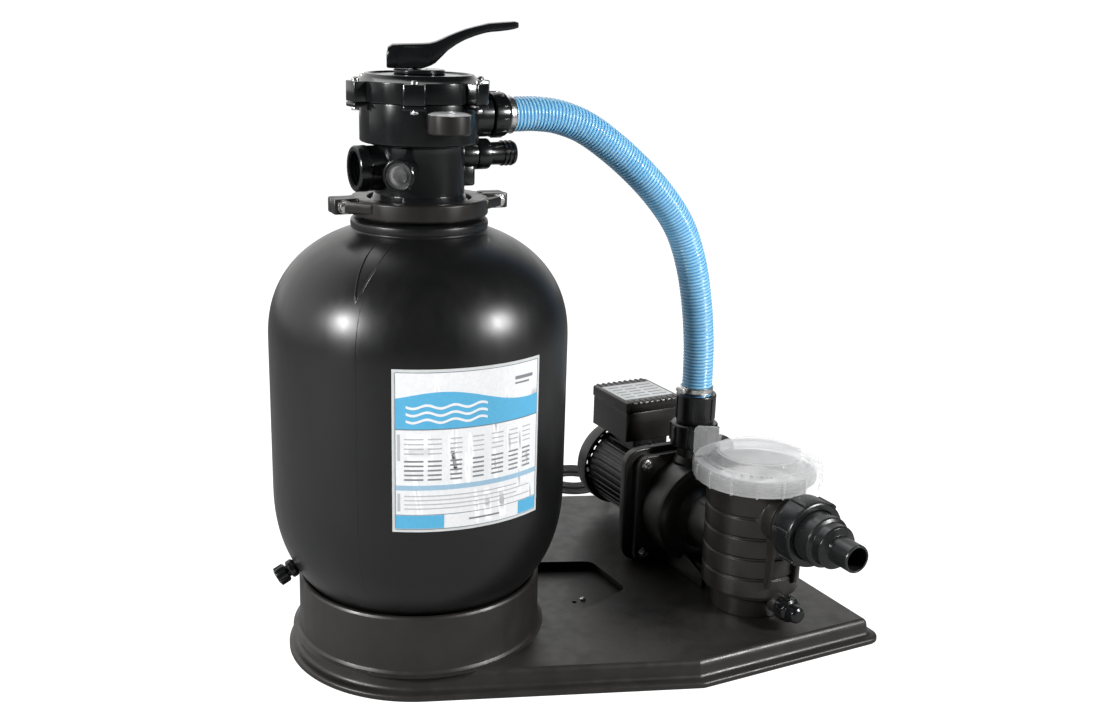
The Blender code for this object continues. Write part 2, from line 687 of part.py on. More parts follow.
def gauge():
    frame = TANK @ Matrix.Rotation(GAUGE_HEADING, 4, "Z") @ Matrix.Translation((GAUGE_REACH, 0, 0))
    cup = [(GAUGE_RADIUS, GAUGE_TOP), (GAUGE_RADIUS, GAUGE_BOTTOM + 0.002), (GAUGE_RADIUS - 0.002, GAUGE_BOTTOM),
           (0, GAUGE_BOTTOM), (0, GAUGE_TOP - 0.008), (0.0215, GAUGE_TOP - 0.008), (0.0215, GAUGE_TOP)]
    body = turned("gauge_body", cup[4:] + cup[:4], frame, CLAMP_BROWN, 20)
    tap = rod("tap", 0.0070, 0.064, 0.080, radial(GAUGE_HEADING, 0.692), segments=12)
    arbor = rod("arbor", 0.0015, GAUGE_TOP - 0.012, GAUGE_TOP - 0.0035, frame, segments=8)
    union(body, tap, arbor)
    lens = [(0, GAUGE_TOP + 0.0035), (0.022, GAUGE_TOP + 0.0030), (0.0245, GAUGE_TOP + GAP), (0, GAUGE_TOP + GAP)]
    turned("gauge_lens", lens, frame, CLEAR, 20)
    needle = block("gauge_needle", (-0.006, -0.0030, GAUGE_TOP - 0.0058), (0.017, 0.0030, GAUGE_TOP - 0.0046),
                   frame, SIGNAL)
    hole = rod("hole", 0.0019, 0.6, 0.8, frame, segments=10)
    cut(needle, hole)


def valve_tails():
    port = radial(PORT_HEADING, PUMP_PORT_HEIGHT)
    nut = [(0.0245, 0.112), (0.0275, 0.109), (0.0275, 0.0914), (0.0228, 0.0914), (0.0228, 0.112)]
    turned("pump_port_nut", nut, port, BLACK, 24)
    pipe("pump_port_tail", 0.0215, 0.0160, 0.0963, 0.0993, port, BLACK, 20)
    port = radial(PORT_HEADING, RETURN_PORT_HEIGHT)
    barb = [(0.0145, 0.127), (0.0160, 0.122), (0.0145, 0.121), (0.0160, 0.116), (0.0145, 0.115),
            (0.0160, 0.110), (0.0140, 0.109), (0.0140, 0.090), (0.0185, 0.090), (0.0185, 0.0723),
            (0.0110, 0.0723), (0.0110, 0.127)]
    turned("return_tail", barb, port, BLACK, 16)


# ---------------------------------------------------------------- hose

def hose():
    route = [TANK_AXIS + PORT_LINE * reach + Vector((0, 0, height)) for reach, height in HOSE_ROUTE]
    tube("connecting_hose", smooth_route(route, HOSE_POINTS), HOSE_RADIUS, HOSE_BLUE, bevel=3)
    upper = radial(PORT_HEADING, PUMP_PORT_HEIGHT)
    lower = pump_upright(DISCHARGE_X)
    for name, frame, start in (("hose_clamp_upper", upper, 0.1130), ("hose_clamp_lower", lower, 0.294)):
        band = pipe(name, 0.0245, HOSE_RADIUS + 0.0007, start, start + 0.009, frame, STEEL, 28)
        union(band, block("screw_house", (-0.006, 0.0238, start + 0.0005), (0.006, 0.0315, start + 0.0085), frame))


# ---------------------------------------------------------------- pump

def square_outline(half, top, bottom, radius):
    """A rounded plate across the pump, in the plane whose x is height and y is width."""
    return rounded([(bottom, -half), (top, -half), (top, half), (bottom, half)], radius)


def plate(name, half, top, bottom, front, back, radius=0.022, finish=BLACK):
    """A plate square to the pump's axis, made lying flat and then stood up."""
    frame = pump_along(0, 0) @ Matrix.Rotation(math.pi, 4, "Z")
    return prism(name, square_outline(half, top, bottom, radius), front, back, frame, finish)


def pot_profile():
    points = [(0, POT_TOP), (RIM_RADIUS, POT_TOP), (RIM_RADIUS, POT_TOP - 0.007), (POT_RADIUS, POT_TOP - 0.013)]
    for band in reversed(range(BAND_COUNT)):
        low = BAND_BOTTOM + band * BAND_PITCH
        points += [(POT_RADIUS, low + 0.0265), (POT_RADIUS - 0.0025, low)]
    return points + [(0.052, POT_BOTTOM), (0.052, PLATEAU_HEIGHT + GAP), (0, PLATEAU_HEIGHT + GAP)]


def pump_body():
    axis = pump_along(0, PUMP_AXIS_HEIGHT)
    suction = pump_along(0, SUCTION_HEIGHT, forwards=True)
    drain = pump_along(0, DRAIN_PLUG_HEIGHT, forwards=True)
    outlet = pump_upright(DISCHARGE_X)
    body = turned("pump_body", pot_profile(), PUMP, BLACK, 28)
    body = union(body, rod("throat", 0.044, 0.045, DRUM_FRONT + 0.01, axis, segments=20),
                 rod("drum", DRUM_RADIUS, DRUM_FRONT, FLANGE_BACK - 0.003, axis, segments=28),
                 plate("flange", 0.084, 0.198, PLATEAU_HEIGHT + GAP, FLANGE_FRONT, FLANGE_BACK))
    body = union(body, rod("outlet", 0.0235, PUMP_AXIS_HEIGHT, 0.234, outlet, segments=20),
                 rod("boss", 0.0352, 0.045, 0.0795, suction, segments=20),
                 rod("thread", 0.034, 0.078, 0.112, suction, segments=20),
                 rod("drain_boss", 0.014, 0.040, 0.0737, drain, segments=12))
    body = cut(body, rod("pot_bore", POT_BORE, POT_FLOOR, 0.30, PUMP, segments=28),
               rod("suction_bore", 0.021, 0.045, 0.15, suction, segments=20),
               rod("eye", 0.022, 0.045, DRUM_FRONT + 0.012, axis, segments=16),
               rod("volute", 0.066, DRUM_FRONT + 0.007, 0.20, axis, segments=24),
               rod("outlet_bore", 0.017, PUMP_AXIS_HEIGHT + 0.03, 0.30, outlet, segments=16),
               rod("drain_bore", 0.0054, 0.048, 0.09, drain, segments=10))
    duct = block("drain_duct", (-0.058, -0.0042, 0.0537), (-0.049, 0.0042, POT_FLOOR + 0.005), PUMP)
    return cut(body, duct, *bolt_rods("hole", 0.0045, FLANGE_FRONT - 0.02, FLANGE_BACK + 0.02))


def bolt_rods(name, radius, front, back):
    rods = []
    for side in (-1, 1):
        for up in (-1, 1):
            frame = PUMP @ Matrix.Translation((0, side * BOLT_OFFSET, PUMP_AXIS_HEIGHT + up * BOLT_OFFSET))
            frame = frame @ Matrix.Rotation(math.radians(90), 4, "Y")
            rods.append(rod(name, radius, front, back, frame, segments=8))
    return rods


def bracket_bolts():
    for index, (side, up) in enumerate(((1, 1), (1, -1), (-1, 1), (-1, -1)), 1):
        frame = PUMP @ Matrix.Translation((0, side * BOLT_OFFSET, PUMP_AXIS_HEIGHT + up * BOLT_OFFSET))
        frame = frame @ Matrix.Rotation(math.radians(-90), 4, "Y")
        head = -FLANGE_FRONT + GAP
        profile = [(0, head + 0.006), (0.005, head + 0.006), (0.0075, head + 0.003), (0.0075, head),
                   (0.004, head), (0.004, -BRACKET_BACK - 0.004), (0, -BRACKET_BACK - 0.004)]
        turned(f"bracket_bolt_{index}", profile, frame, STEEL, 12)


def wing_outline():
    """A lid wing from the side: x outwards from the lid's middle, y as height."""
    return [(0.052, LID_TOP - 0.003), (0.060, LID_RIM_TOP), (0.066, LID_RIM_TOP - 0.004),
            (0.084, LID_RIM_TOP - 0.004), (0.0885, LID_RIM_TOP + 0.008), (0.0885, WING_TOP - 0.005),
            (0.0835, WING_TOP), (0.058, WING_TOP), (0.052, WING_TOP - 0.006)]


def strainer_lid():
    profile = [(0, LID_TOP), (0.055, LID_TOP), (0.060, LID_TOP - 0.003), (0.066, 0.243), (0.076, LID_RIM_TOP),
               (LID_RADIUS - 0.002, LID_RIM_TOP), (LID_RADIUS, LID_RIM_TOP - 0.002), (LID_RADIUS, LID_BOTTOM),
               (LID_BORE, LID_BOTTOM), (LID_BORE, POT_TOP + 0.0033), (0.062, POT_TOP + 0.0033),
               (0.056, LID_TOP - 0.0035), (0, LID_TOP - 0.0035)]
    lid = turned("strainer_lid", profile, PUMP, CLEAR, 28)
    for turn in (WING_HEADING, WING_HEADING + math.pi):
        side = PUMP @ Matrix.Rotation(turn, 4, "Z") @ Matrix.Rotation(math.radians(90), 4, "X")
        lid = union(lid, prism("wing", wing_outline(), -0.003, 0.003, side))
    pipe("lid_o_ring", 0.0668, 0.0622, POT_TOP + GAP, POT_TOP + 0.003, PUMP, RUBBER, 28)


def strainer_basket():
    """A basket hung by its rim in the pot, with slots in the wall and a handle across."""
    rim = 0.0596
    profile = [(rim, 0.210), (rim, 0.2075), (0.0555, 0.2075), (0.049, 0.100), (0, 0.100), (0, 0.1022),
               (0.0472, 0.1022), (0.0535, 0.210)]
    basket = turned("strainer_basket", profile[5:] + profile[:5], PUMP, INNER_WHITE, 24)
    for index in range(8):
        frame = PUMP @ Matrix.Rotation((index + 0.5) * math.tau / 8, 4, "Z")
        basket = cut(basket, block("slot", (0.040, -0.005, 0.115), (0.070, 0.005, 0.190), frame))
    window = block("inlet", (-0.070, -0.020, 0.150), (-0.040, 0.020, 0.198), PUMP)
    basket = cut(basket, window)
    bar = block("bar", (-0.0025, -0.0540, 0.2030), (0.0025, 0.0540, 0.2080), PUMP)
    return union(basket, bar)


def pot_drain_plug():
    frame = pump_along(0, DRAIN_PLUG_HEIGHT, forwards=True)
    knob = [(0, 0.111), (0.007, 0.1105), (0.0115, 0.106), (0.0120, 0.094), (0.0165, 0.092), (0.0165, 0.0745),
            (0.0042, 0.0745), (0.0042, 0.060), (0, 0.060)]
    return turned("pot_drain_plug", knob, frame, BLACK, 16)


def grip_nut(name, profile, frame, reach, low, high, count):
    """A union nut with raised grips."""
    nut = turned(name, profile, frame, BLACK, 24)
    for index in range(count):
        turn = frame @ Matrix.Rotation(index * math.tau / count, 4, "Z")
        nut = union(nut, block("grip", (reach - 0.004, -0.0045, low), (reach + 0.003, 0.0045, high), turn))
    return nut


def suction_union():
    frame = pump_along(0, SUCTION_HEIGHT, forwards=True)
    nut = [(0.0440, 0.128), (0.0450, 0.126), (0.0450, 0.094), (0.0350, 0.094), (0.0350, 0.1195),
           (0.0310, 0.1195), (0.0310, 0.1235), (0.0348, 0.1235), (0.0348, 0.128)]
    grip_nut("suction_union_nut", nut, frame, 0.044, 0.096, 0.125, 6)
    tail = [(0.0185, SUCTION_TIP), (0.0185, 0.172), (0.0290, 0.170), (0.0290, 0.155), (0.0340, 0.153),
            (0.0340, 0.125), (0.0300, 0.125), (0.0300, 0.1189), (0.0335, 0.1189), (0.0335, 0.1123),
            (0.0150, 0.1123), (0.0150, SUCTION_TIP)]
    turned("suction_tail", tail, frame, BLACK, 20)


def discharge_union():
    frame = pump_upright(DISCHARGE_X)
    nut = [(0.033, 0.248), (0.034, 0.246), (0.034, 0.214), (0.0245, 0.214), (0.0245, 0.2420), (0.0215, 0.2420),
           (0.0215, 0.248)]
    grip_nut("discharge_union_nut", nut, frame, 0.033, 0.217, 0.243, 4)
    tail = [(0.0290, DISCHARGE_TOP), (0.0290, 0.254), (0.0270, 0.249), (0.0205, 0.249), (0.0205, 0.2414),
            (0.0230, 0.2414), (0.0230, 0.2343), (0.0170, 0.2343), (0.0170, 0.2625), (0.0226, 0.2625),
            (0.0226, DISCHARGE_TOP)]
    turned("discharge_tail", tail, frame, BLACK, 20)


def impeller():
    frame = pump_along(0, PUMP_AXIS_HEIGHT)
    profile = [(0, 0.1500), (0.052, 0.1500), (0.052, 0.1465), (0.016, 0.1465), (0.011, 0.1300), (0, 0.1300)]
    wheel = turned("impeller", profile, frame, INNER_WHITE, 20)
    for index in range(5):
        turn = frame @ Matrix.Rotation(index * math.tau / 5, 4, "Z") @ Matrix.Rotation(0.5, 4, "Z")
        vane = block("vane", (0.012, -0.0025, 0.1340), (0.050, 0.0005, 0.1470), turn)
        wheel = union(wheel, vane)
    socket = rod("socket", SHAFT_RADIUS + GAP, 0.1380, 0.16, frame, segments=16)
    return cut(wheel, socket)


def seal_bracket():
    bracket = plate("seal_bracket", 0.097, 0.206, PLATEAU_HEIGHT + GAP, FLANGE_BACK + GAP, BRACKET_BACK,
                    0.030, CLAMP_BROWN)
    axis = pump_along(0, PUMP_AXIS_HEIGHT)
    bracket = union(bracket, rod("bearing_nest", 0.024, BRACKET_BACK - 0.004, 0.210, axis, segments=24))
    bracket = cut(bracket, rod("shaft_hole", 0.0100, 0.15, 0.22, axis, segments=20),
                  rod("nest", 0.0163, 0.1975, 0.22, axis, segments=24),
                  rod("seal_well", 0.0165, 0.15, FLANGE_BACK + 0.006, axis, segments=24))
    return cut(bracket, *bolt_rods("thread", 0.0045, FLANGE_BACK - 0.02, BRACKET_BACK + 0.02))


def shaft_line():
    axis = pump_along(0, PUMP_AXIS_HEIGHT)
    rod("motor_shaft", SHAFT_RADIUS, 0.1383, 0.374, axis, STEEL, 16)
    pipe("mechanical_seal", 0.0155, SHAFT_RADIUS + GAP, 0.1503, 0.1870, axis, RUBBER, 20)
    pipe("front_bearing", 0.0160, SHAFT_RADIUS + RUNNING_GAP, 0.1978, 0.2095, axis, STEEL, 24)
    pipe("rear_bearing", 0.0160, SHAFT_RADIUS + RUNNING_GAP, 0.3323, 0.3415, axis, STEEL, 24)
    pipe("rotor_core", 0.0280, SHAFT_RADIUS + GAP, 0.240, 0.306, axis, IRON, 28)
    pipe("stator", 0.0500, 0.0290, 0.236, 0.310, axis, IRON, 32)
    fan = pipe("cooling_fan", 0.012, SHAFT_RADIUS + GAP, 0.3535, 0.3715, axis, BLACK, 16)
    for index in range(7):
        turn = axis @ Matrix.Rotation(index * math.tau / 7, 4, "Z")
        fan = union(fan, block("blade", (0.0095, -0.001, 0.3545), (0.052, 0.001, 0.3705), turn))


def fin_outline():
    """The motor housing across its axis: straight cooling fins all round."""
    outline = []
    root = MOTOR_RADIUS - 0.009
    for index in range(FIN_COUNT):
        middle = 360 * index / FIN_COUNT
        for radius, offset in ((root, -4.4), (MOTOR_RADIUS, -2.0), (MOTOR_RADIUS, 2.0), (root, 4.4)):
            angle = math.radians(middle + offset)
            outline.append((radius * math.cos(angle), radius * math.sin(angle)))
    return outline


def motor_housing():
    axis = pump_along(0, PUMP_AXIS_HEIGHT)
    front = BRACKET_BACK + GAP
    housing = prism("motor_housing", fin_outline(), front, MOTOR_BACK, axis, ALLOY)
    saddle = block("saddle", (0.270, -0.030, 0.160), (0.330, 0.030, BOX_BOTTOM - GAP), PUMP)
    collar = pipe("collar", 0.066, 0.0510, front, front + 0.010, axis, segments=24)
    housing = union(housing, saddle, collar)
    return cut(housing, rod("bore", 0.0506, 0.18, 0.332, axis, segments=24),
               rod("nest", 0.0163, 0.18, 0.342, axis, segments=24),
               rod("hole", 0.0085, 0.18, 0.40, axis, segments=16),
               *bolt_rods("clearance", 0.0060, 0.18, 0.214))


def fan_cover():
    axis = pump_along(0, PUMP_AXIS_HEIGHT)
    inner = FAN_COVER_RADIUS - 0.0025
    profile = [(0, FAN_COVER_BACK), (FAN_COVER_RADIUS - 0.008, FAN_COVER_BACK),
               (FAN_COVER_RADIUS, FAN_COVER_BACK - 0.008), (FAN_COVER_RADIUS, FAN_COVER_FRONT),
               (inner, FAN_COVER_FRONT),
               (inner, FAN_COVER_BACK - 0.009), (inner - 0.007, FAN_COVER_BACK - 0.0025),
               (0, FAN_COVER_BACK - 0.0025)]
    cover = turned("fan_cover", profile, axis, CLAMP_BROWN, 28)
    for index in range(6):
        turn = axis @ Matrix.Rotation(index * math.tau / 6, 4, "Z")
        cover = cut(cover, block("slot", (0.020, -0.004, 0.36), (0.054, 0.004, 0.40), turn))
    return cover


def terminal_box():
    wall = 0.003
    box = block("terminal_box", (BOX_FRONT, -BOX_HALF_WIDTH, BOX_BOTTOM), (BOX_BACK, BOX_HALF_WIDTH, BOX_TOP),
                PUMP, CLAMP_BROWN)
    room = block("room", (BOX_FRONT + wall, wall - BOX_HALF_WIDTH, BOX_BOTTOM + wall),
                 (BOX_BACK - wall, BOX_HALF_WIDTH - wall, BOX_TOP + 0.02), PUMP)
    wire_hole = rod("wire_hole", 0.010, 0.15, 0.20, pump_upright(0.285), segments=16)
    gland_hole = rod("gland_hole", 0.0083, 0.30, 0.40, pump_along(0, GLAND_HEIGHT), segments=16)
    cut(box, room, wire_hole, gland_hole)
    edge = 0.0015
    lid = block("terminal_lid", (BOX_FRONT - edge, -BOX_HALF_WIDTH - edge, BOX_TOP + GAP),
                (BOX_BACK + edge, BOX_HALF_WIDTH + edge, BOX_LID_TOP), PUMP, CLAMP_BROWN)
    hollow = block("hollow", (BOX_FRONT + wall, wall - BOX_HALF_WIDTH, BOX_TOP - 0.01),
                   (BOX_BACK - wall, BOX_HALF_WIDTH - wall, BOX_LID_TOP - wall), PUMP)
    cut(lid, hollow)
    rod("capacitor", 0.014, 0.285, 0.345, pump_upright_side(0.028, 0.2085), INNER_WHITE, 20)


def pump_upright_side(side, height):
    """A frame beside the pump's axis plane whose +Z runs towards the motor."""
    return PUMP @ Matrix.Translation((0, side, height)) @ Matrix.Rotation(math.radians(90), 4, "Y")


def cable_gland():
    profile = [(0.0065, GLAND_END), (0.0085, 0.3885), (0.0110, 0.3860), (0.0110, 0.3675), (0.0080, 0.3675),
               (0.0080, 0.3600), (0.0045, 0.3600), (0.0045, GLAND_END)]
    turned("cable_gland", profile, pump_along(0, GLAND_HEIGHT), BLACK, 16)


def mains_cable():
    route = [world(PUMP, *point) for point in CABLE_ROUTE]
    tube("mains_cable", smooth_route(route, CABLE_POINTS), CABLE_RADIUS, BLACK, bevel=2)
    coil = pump_upright(*COIL_CENTRE)
    pipe("cable_coil", COIL_OUTER, COIL_INNER, GAP, COIL_HEIGHT, coil, BLACK, 32)
    plug_start = world(PUMP, *COIL_CENTRE, 0) + Vector((-0.0615, 0.0120, PLUG_RADIUS + GAP))
    frame = along(plug_start, (-1, -1, 0))
    profile = [(0, 0.062), (0.016, 0.062), (PLUG_RADIUS, 0.059), (PLUG_RADIUS, 0.044), (0.013, 0.034),
               (0.0075, 0.026), (0.0050, 0), (0, 0)]
    plug = turned("mains_plug", profile, frame, BLACK, 20)
    pins = [rod("pin", 0.0024, 0.058, 0.081, frame @ Matrix.Translation((0, side * 0.0095, 0)), segments=8)
            for side in (-1, 1)]
    union(plug, *pins)


base_platform()
filter_tank()
tank_drain()
underdrain()
neck_seal()
clamp()
valve_body()
valve_cover()
valve_rotor()
rotor_spring()
selector()
sight_glass()
gauge()
valve_tails()
hose()
pump_body()
bracket_bolts()
strainer_lid()
strainer_basket()
pot_drain_plug()
suction_union()
discharge_union()
impeller()
seal_bracket()
shaft_line()
motor_housing()
fan_cover()
terminal_box()
cable_gland()
mains_cable()
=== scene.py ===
"""Looks for a pool sand-filter and pump set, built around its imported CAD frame.

Metres, +Z up. Turned and moulded parts are rebuilt here with rounded edges, ribs and fittings, each on the
CAD body that it belongs to. Meshes hold their place in their vertices, as the CAD nodes do."""

import math

import bmesh
import bpy
from mathutils import Matrix, Vector


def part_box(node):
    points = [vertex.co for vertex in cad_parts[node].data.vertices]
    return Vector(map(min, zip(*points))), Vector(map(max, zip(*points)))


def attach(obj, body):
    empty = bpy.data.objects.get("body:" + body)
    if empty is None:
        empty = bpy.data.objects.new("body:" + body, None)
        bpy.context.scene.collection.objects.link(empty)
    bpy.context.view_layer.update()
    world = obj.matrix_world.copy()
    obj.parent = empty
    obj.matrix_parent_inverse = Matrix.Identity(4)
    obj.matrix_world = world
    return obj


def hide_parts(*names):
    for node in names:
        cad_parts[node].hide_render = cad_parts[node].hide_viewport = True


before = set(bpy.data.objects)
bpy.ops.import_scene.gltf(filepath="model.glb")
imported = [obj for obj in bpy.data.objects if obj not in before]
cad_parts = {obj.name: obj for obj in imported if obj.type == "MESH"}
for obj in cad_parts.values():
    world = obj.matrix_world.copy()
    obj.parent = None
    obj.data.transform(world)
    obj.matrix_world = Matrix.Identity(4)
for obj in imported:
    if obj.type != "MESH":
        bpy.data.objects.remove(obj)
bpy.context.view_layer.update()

ROUND = 96
SHARP_ANGLE = math.radians(38)


def flat_centre(node):
    low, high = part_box(node)
    return Vector(((low.x + high.x) / 2, (low.y + high.y) / 2, 0))


# Where the two machines stand, from the frame, and which way they face
TANK_AXIS = flat_centre("filter_tank")
POT_AXIS = flat_centre("strainer_basket")
PORT_HEADING = math.radians(20)
PUMP_HEADING = math.radians(110)
PORT_LINE = Vector((math.cos(PORT_HEADING), math.sin(PORT_HEADING), 0))
TANK = Matrix.Translation(TANK_AXIS)
PORTS = TANK @ Matrix.Rotation(PORT_HEADING, 4, "Z")
PUMP = Matrix.Translation(POT_AXIS) @ Matrix.Rotation(PUMP_HEADING, 4, "Z")

# Heights and radii that several parts share
TANK_RADIUS = 0.1875
BARREL_BOTTOM = 0.228
BARREL_TOP = 0.421
SHOULDER_RISE = 0.147
DRAIN_HEADING = math.radians(195)
DRAIN_TILT = math.radians(28)
SIGHT_HEADING = math.radians(-110)
SIGHT_HEIGHT = 0.631
GAUGE_HEADING = math.radians(-72)
DOME_BOTTOM = 0.048
SHAFT_HEIGHT = 0.116
SUCTION_HEIGHT = 0.180
DRAIN_PLUG_HEIGHT = 0.057
PUMP_PORT_HEIGHT = 0.694
RETURN_PORT_HEIGHT = 0.646
WASTE_PORT_HEIGHT = 0.633
DISCHARGE_X = 0.154
GLAND_HEIGHT = 0.212
PUMP_FOOT = 0.0303
BOLT_SPREAD = 0.069
FLOOR_DROP = 0.0004

# The camera, as the photo's outlines place it
FOCAL_LENGTH = 41.4
SENSOR_WIDTH = 36
CAMERA_PLACE = (-0.0594, -1.5567, 0.829)
CAMERA_PAN = math.radians(-8.3)
CAMERA_TILT = math.radians(90 - 15.75)
CAMERA_ROLL = math.radians(1.61)

# How bright the studio is on its dim and bright sides, and the way to the bright one
FRONT_GLOW = 0.022
REAR_GLOW = 1.15
GLOW_HEADING = (-0.50, 0.86, 0.0)


# ---------------------------------------------------------------- camera, light and floor

def camera():
    lens = bpy.data.cameras.new("camera")
    lens.lens = FOCAL_LENGTH
    lens.sensor_width = SENSOR_WIDTH
    lens.clip_start = 0.05
    lens.clip_end = 50
    obj = bpy.data.objects.new("camera", lens)
    turn = Matrix.Rotation(CAMERA_PAN, 4, "Z") @ Matrix.Rotation(CAMERA_TILT, 4, "X")
    turn = turn @ Matrix.Rotation(CAMERA_ROLL, 4, "Z")
    obj.matrix_world = Matrix.Translation(TANK_AXIS + Vector(CAMERA_PLACE)) @ turn
    bpy.context.scene.collection.objects.link(obj)
    bpy.context.scene.camera = obj


def softbox(name, place, target, size, power, shape="DISK"):
    light = bpy.data.lights.new(name, "AREA")
    light.shape = shape
    light.size = size
    light.energy = power
    obj = bpy.data.objects.new(name, light)
    aim = (Vector(target) - Vector(place)).to_track_quat("-Z", "Y").to_matrix().to_4x4()
    obj.matrix_world = Matrix.Translation(place) @ aim
    bpy.context.scene.collection.objects.link(obj)


def studio():
    """A white room: bright behind the set and to its left, dim in front, with two softboxes in front and
    a square one above and behind."""
    world = bpy.data.worlds.new("studio")
    bpy.context.scene.world = world
    world.use_nodes = True
    tree = world.node_tree
    glow = tree.nodes["Background"]
    coords = tree.nodes.new("ShaderNodeTexCoord")
    aim = tree.nodes.new("ShaderNodeVectorMath")
    aim.operation = "DOT_PRODUCT"
    aim.inputs[1].default_value = GLOW_HEADING
    depth = tree.nodes.new("ShaderNodeMapRange")
    depth.interpolation_type = "SMOOTHSTEP"
    depth.inputs["From Min"].default_value = 0.22
    depth.inputs["From Max"].default_value = 0.66
    depth.inputs["To Min"].default_value = FRONT_GLOW
    depth.inputs["To Max"].default_value = REAR_GLOW
    tree.links.new(coords.outputs["Generated"], aim.inputs[0])
    tree.links.new(aim.outputs["Value"], depth.inputs["Value"])
    tree.links.new(depth.outputs["Result"], glow.inputs["Strength"])
    seen = tree.nodes.new("ShaderNodeBackground")
    path = tree.nodes.new("ShaderNodeLightPath")
    mix = tree.nodes.new("ShaderNodeMixShader")
    glow.inputs["Color"].default_value = (1.0, 0.995, 0.99, 1)
    seen.inputs["Color"].default_value = (1, 1, 1, 1)
    seen.inputs["Strength"].default_value = 1.05
    tree.links.new(path.outputs["Is Camera Ray"], mix.inputs["Fac"])
    tree.links.new(glow.outputs[0], mix.inputs[1])
    tree.links.new(seen.outputs[0], mix.inputs[2])
    tree.links.new(mix.outputs[0], tree.nodes["World Output"].inputs["Surface"])
    softbox("left_box", TANK_AXIS + Vector((-1.92, -1.08, 1.25)), TANK_AXIS + Vector((0, 0, 0.40)),
            size=0.42, power=66)
    softbox("right_box", TANK_AXIS + Vector((1.97, -1.09, 1.25)), TANK_AXIS + Vector((0.1, 0, 0.40)),
            size=0.42, power=60)
    softbox("top_box", (-0.5, 1.1, 2.4), (0.05, 0, 0.4), size=1.2, power=9, shape="SQUARE")


def floor():
    """A floor that the camera sees as lit white paper, and that lights the set only a little."""
    mesh = bpy.data.meshes.new("floor")
    half = 9
    mesh.from_pydata([(-half, -half, 0), (half, -half, 0), (half, half, 0), (-half, half, 0)], [],
                     [(0, 1, 2, 3)])
    obj = bpy.data.objects.new("floor", mesh)
    obj.location.z = -FLOOR_DROP
    bpy.context.scene.collection.objects.link(obj)
    made = bpy.data.materials.new("floor")
    made.use_nodes = True
    tree = made.node_tree
    shader = tree.nodes["Principled BSDF"]
    shader.inputs["Base Color"].default_value = (0.34, 0.34, 0.34, 1)
    shader.inputs["Roughness"].default_value = 0.9
    shader.inputs["Specular IOR Level"].default_value = 0.0
    shader.inputs["Emission Color"].default_value = (1, 1, 1, 1)
    path = tree.nodes.new("ShaderNodeLightPath")
    shine = tree.nodes.new("ShaderNodeMapRange")
    shine.inputs["To Min"].default_value = 0.05
    shine.inputs["To Max"].default_value = 0.95
    tree.links.new(path.outputs["Is Camera Ray"], shine.inputs["Value"])
    tree.links.new(shine.outputs["Result"], shader.inputs["Emission Strength"])
    mesh.materials.append(made)


# ---------------------------------------------------------------- materials

def graph(name):
    made = bpy.data.materials.new(name)
    made.use_nodes = True
    return made, made.node_tree, made.node_tree.nodes["Principled BSDF"]


def noise(tree, size, detail=3.0, stretch=(1, 1, 1)):
    """Cloudy noise with features about size metres across, fixed to the piece."""
    coords = tree.nodes.new("ShaderNodeTexCoord")
    mapping = tree.nodes.new("ShaderNodeMapping")
    mapping.inputs["Scale"].default_value = stretch
    made = tree.nodes.new("ShaderNodeTexNoise")
    made.inputs["Scale"].default_value = 1 / size
    made.inputs["Detail"].default_value = detail
    tree.links.new(coords.outputs["Object"], mapping.inputs["Vector"])
    tree.links.new(mapping.outputs["Vector"], made.inputs["Vector"])
    return made.outputs["Fac"]


def spread(tree, value, low, high, start=0.35, stop=0.65):
    """A value between start and stop spread out from low to high."""
    made = tree.nodes.new("ShaderNodeMapRange")
    made.inputs["From Min"].default_value = start
    made.inputs["From Max"].default_value = stop
    made.inputs["To Min"].default_value = low
    made.inputs["To Max"].default_value = high
    tree.links.new(value, made.inputs["Value"])
    return made.outputs["Result"]


def blend_colours(tree, factor, one, two):
    made = tree.nodes.new("ShaderNodeMix")
    made.data_type = "RGBA"
    for socket, colour in ((made.inputs[6], one), (made.inputs[7], two)):
        if isinstance(colour, tuple):
            socket.default_value = (*colour, 1)
        else:
            tree.links.new(colour, socket)
    tree.links.new(factor, made.inputs[0])
    return made.outputs[2]


def bump(tree, shader, height, depth):
    """Adds a bump of that depth in metres over what the shader has already."""
    made = tree.nodes.new("ShaderNodeBump")
    made.inputs["Strength"].default_value = 1.0
    made.inputs["Distance"].default_value = depth
    tree.links.new(height, made.inputs["Height"])
    normal = shader.inputs["Normal"]
    if normal.is_linked:
        tree.links.new(normal.links[0].from_socket, made.inputs["Normal"])
    tree.links.new(made.outputs["Normal"], normal)


def moulded(name, dark, light, rough, grain, depth, swell=0.0):
    """Moulded plastic or paint: a cloudy tone, a fine grain, uneven gloss and, if asked, a slow swell."""
    made, tree, shader = graph(name)
    cloud = noise(tree, 0.045, 4)
    tree.links.new(blend_colours(tree, spread(tree, cloud, 0, 1), dark, light), shader.inputs["Base Color"])
    smear = noise(tree, 0.018, 5, (1, 1, 0.35))
    tree.links.new(spread(tree, smear, *rough), shader.inputs["Roughness"])
    bump(tree, shader, noise(tree, grain, 2), depth)
    if swell:
        bump(tree, shader, noise(tree, 0.11, 1), swell)
    return made


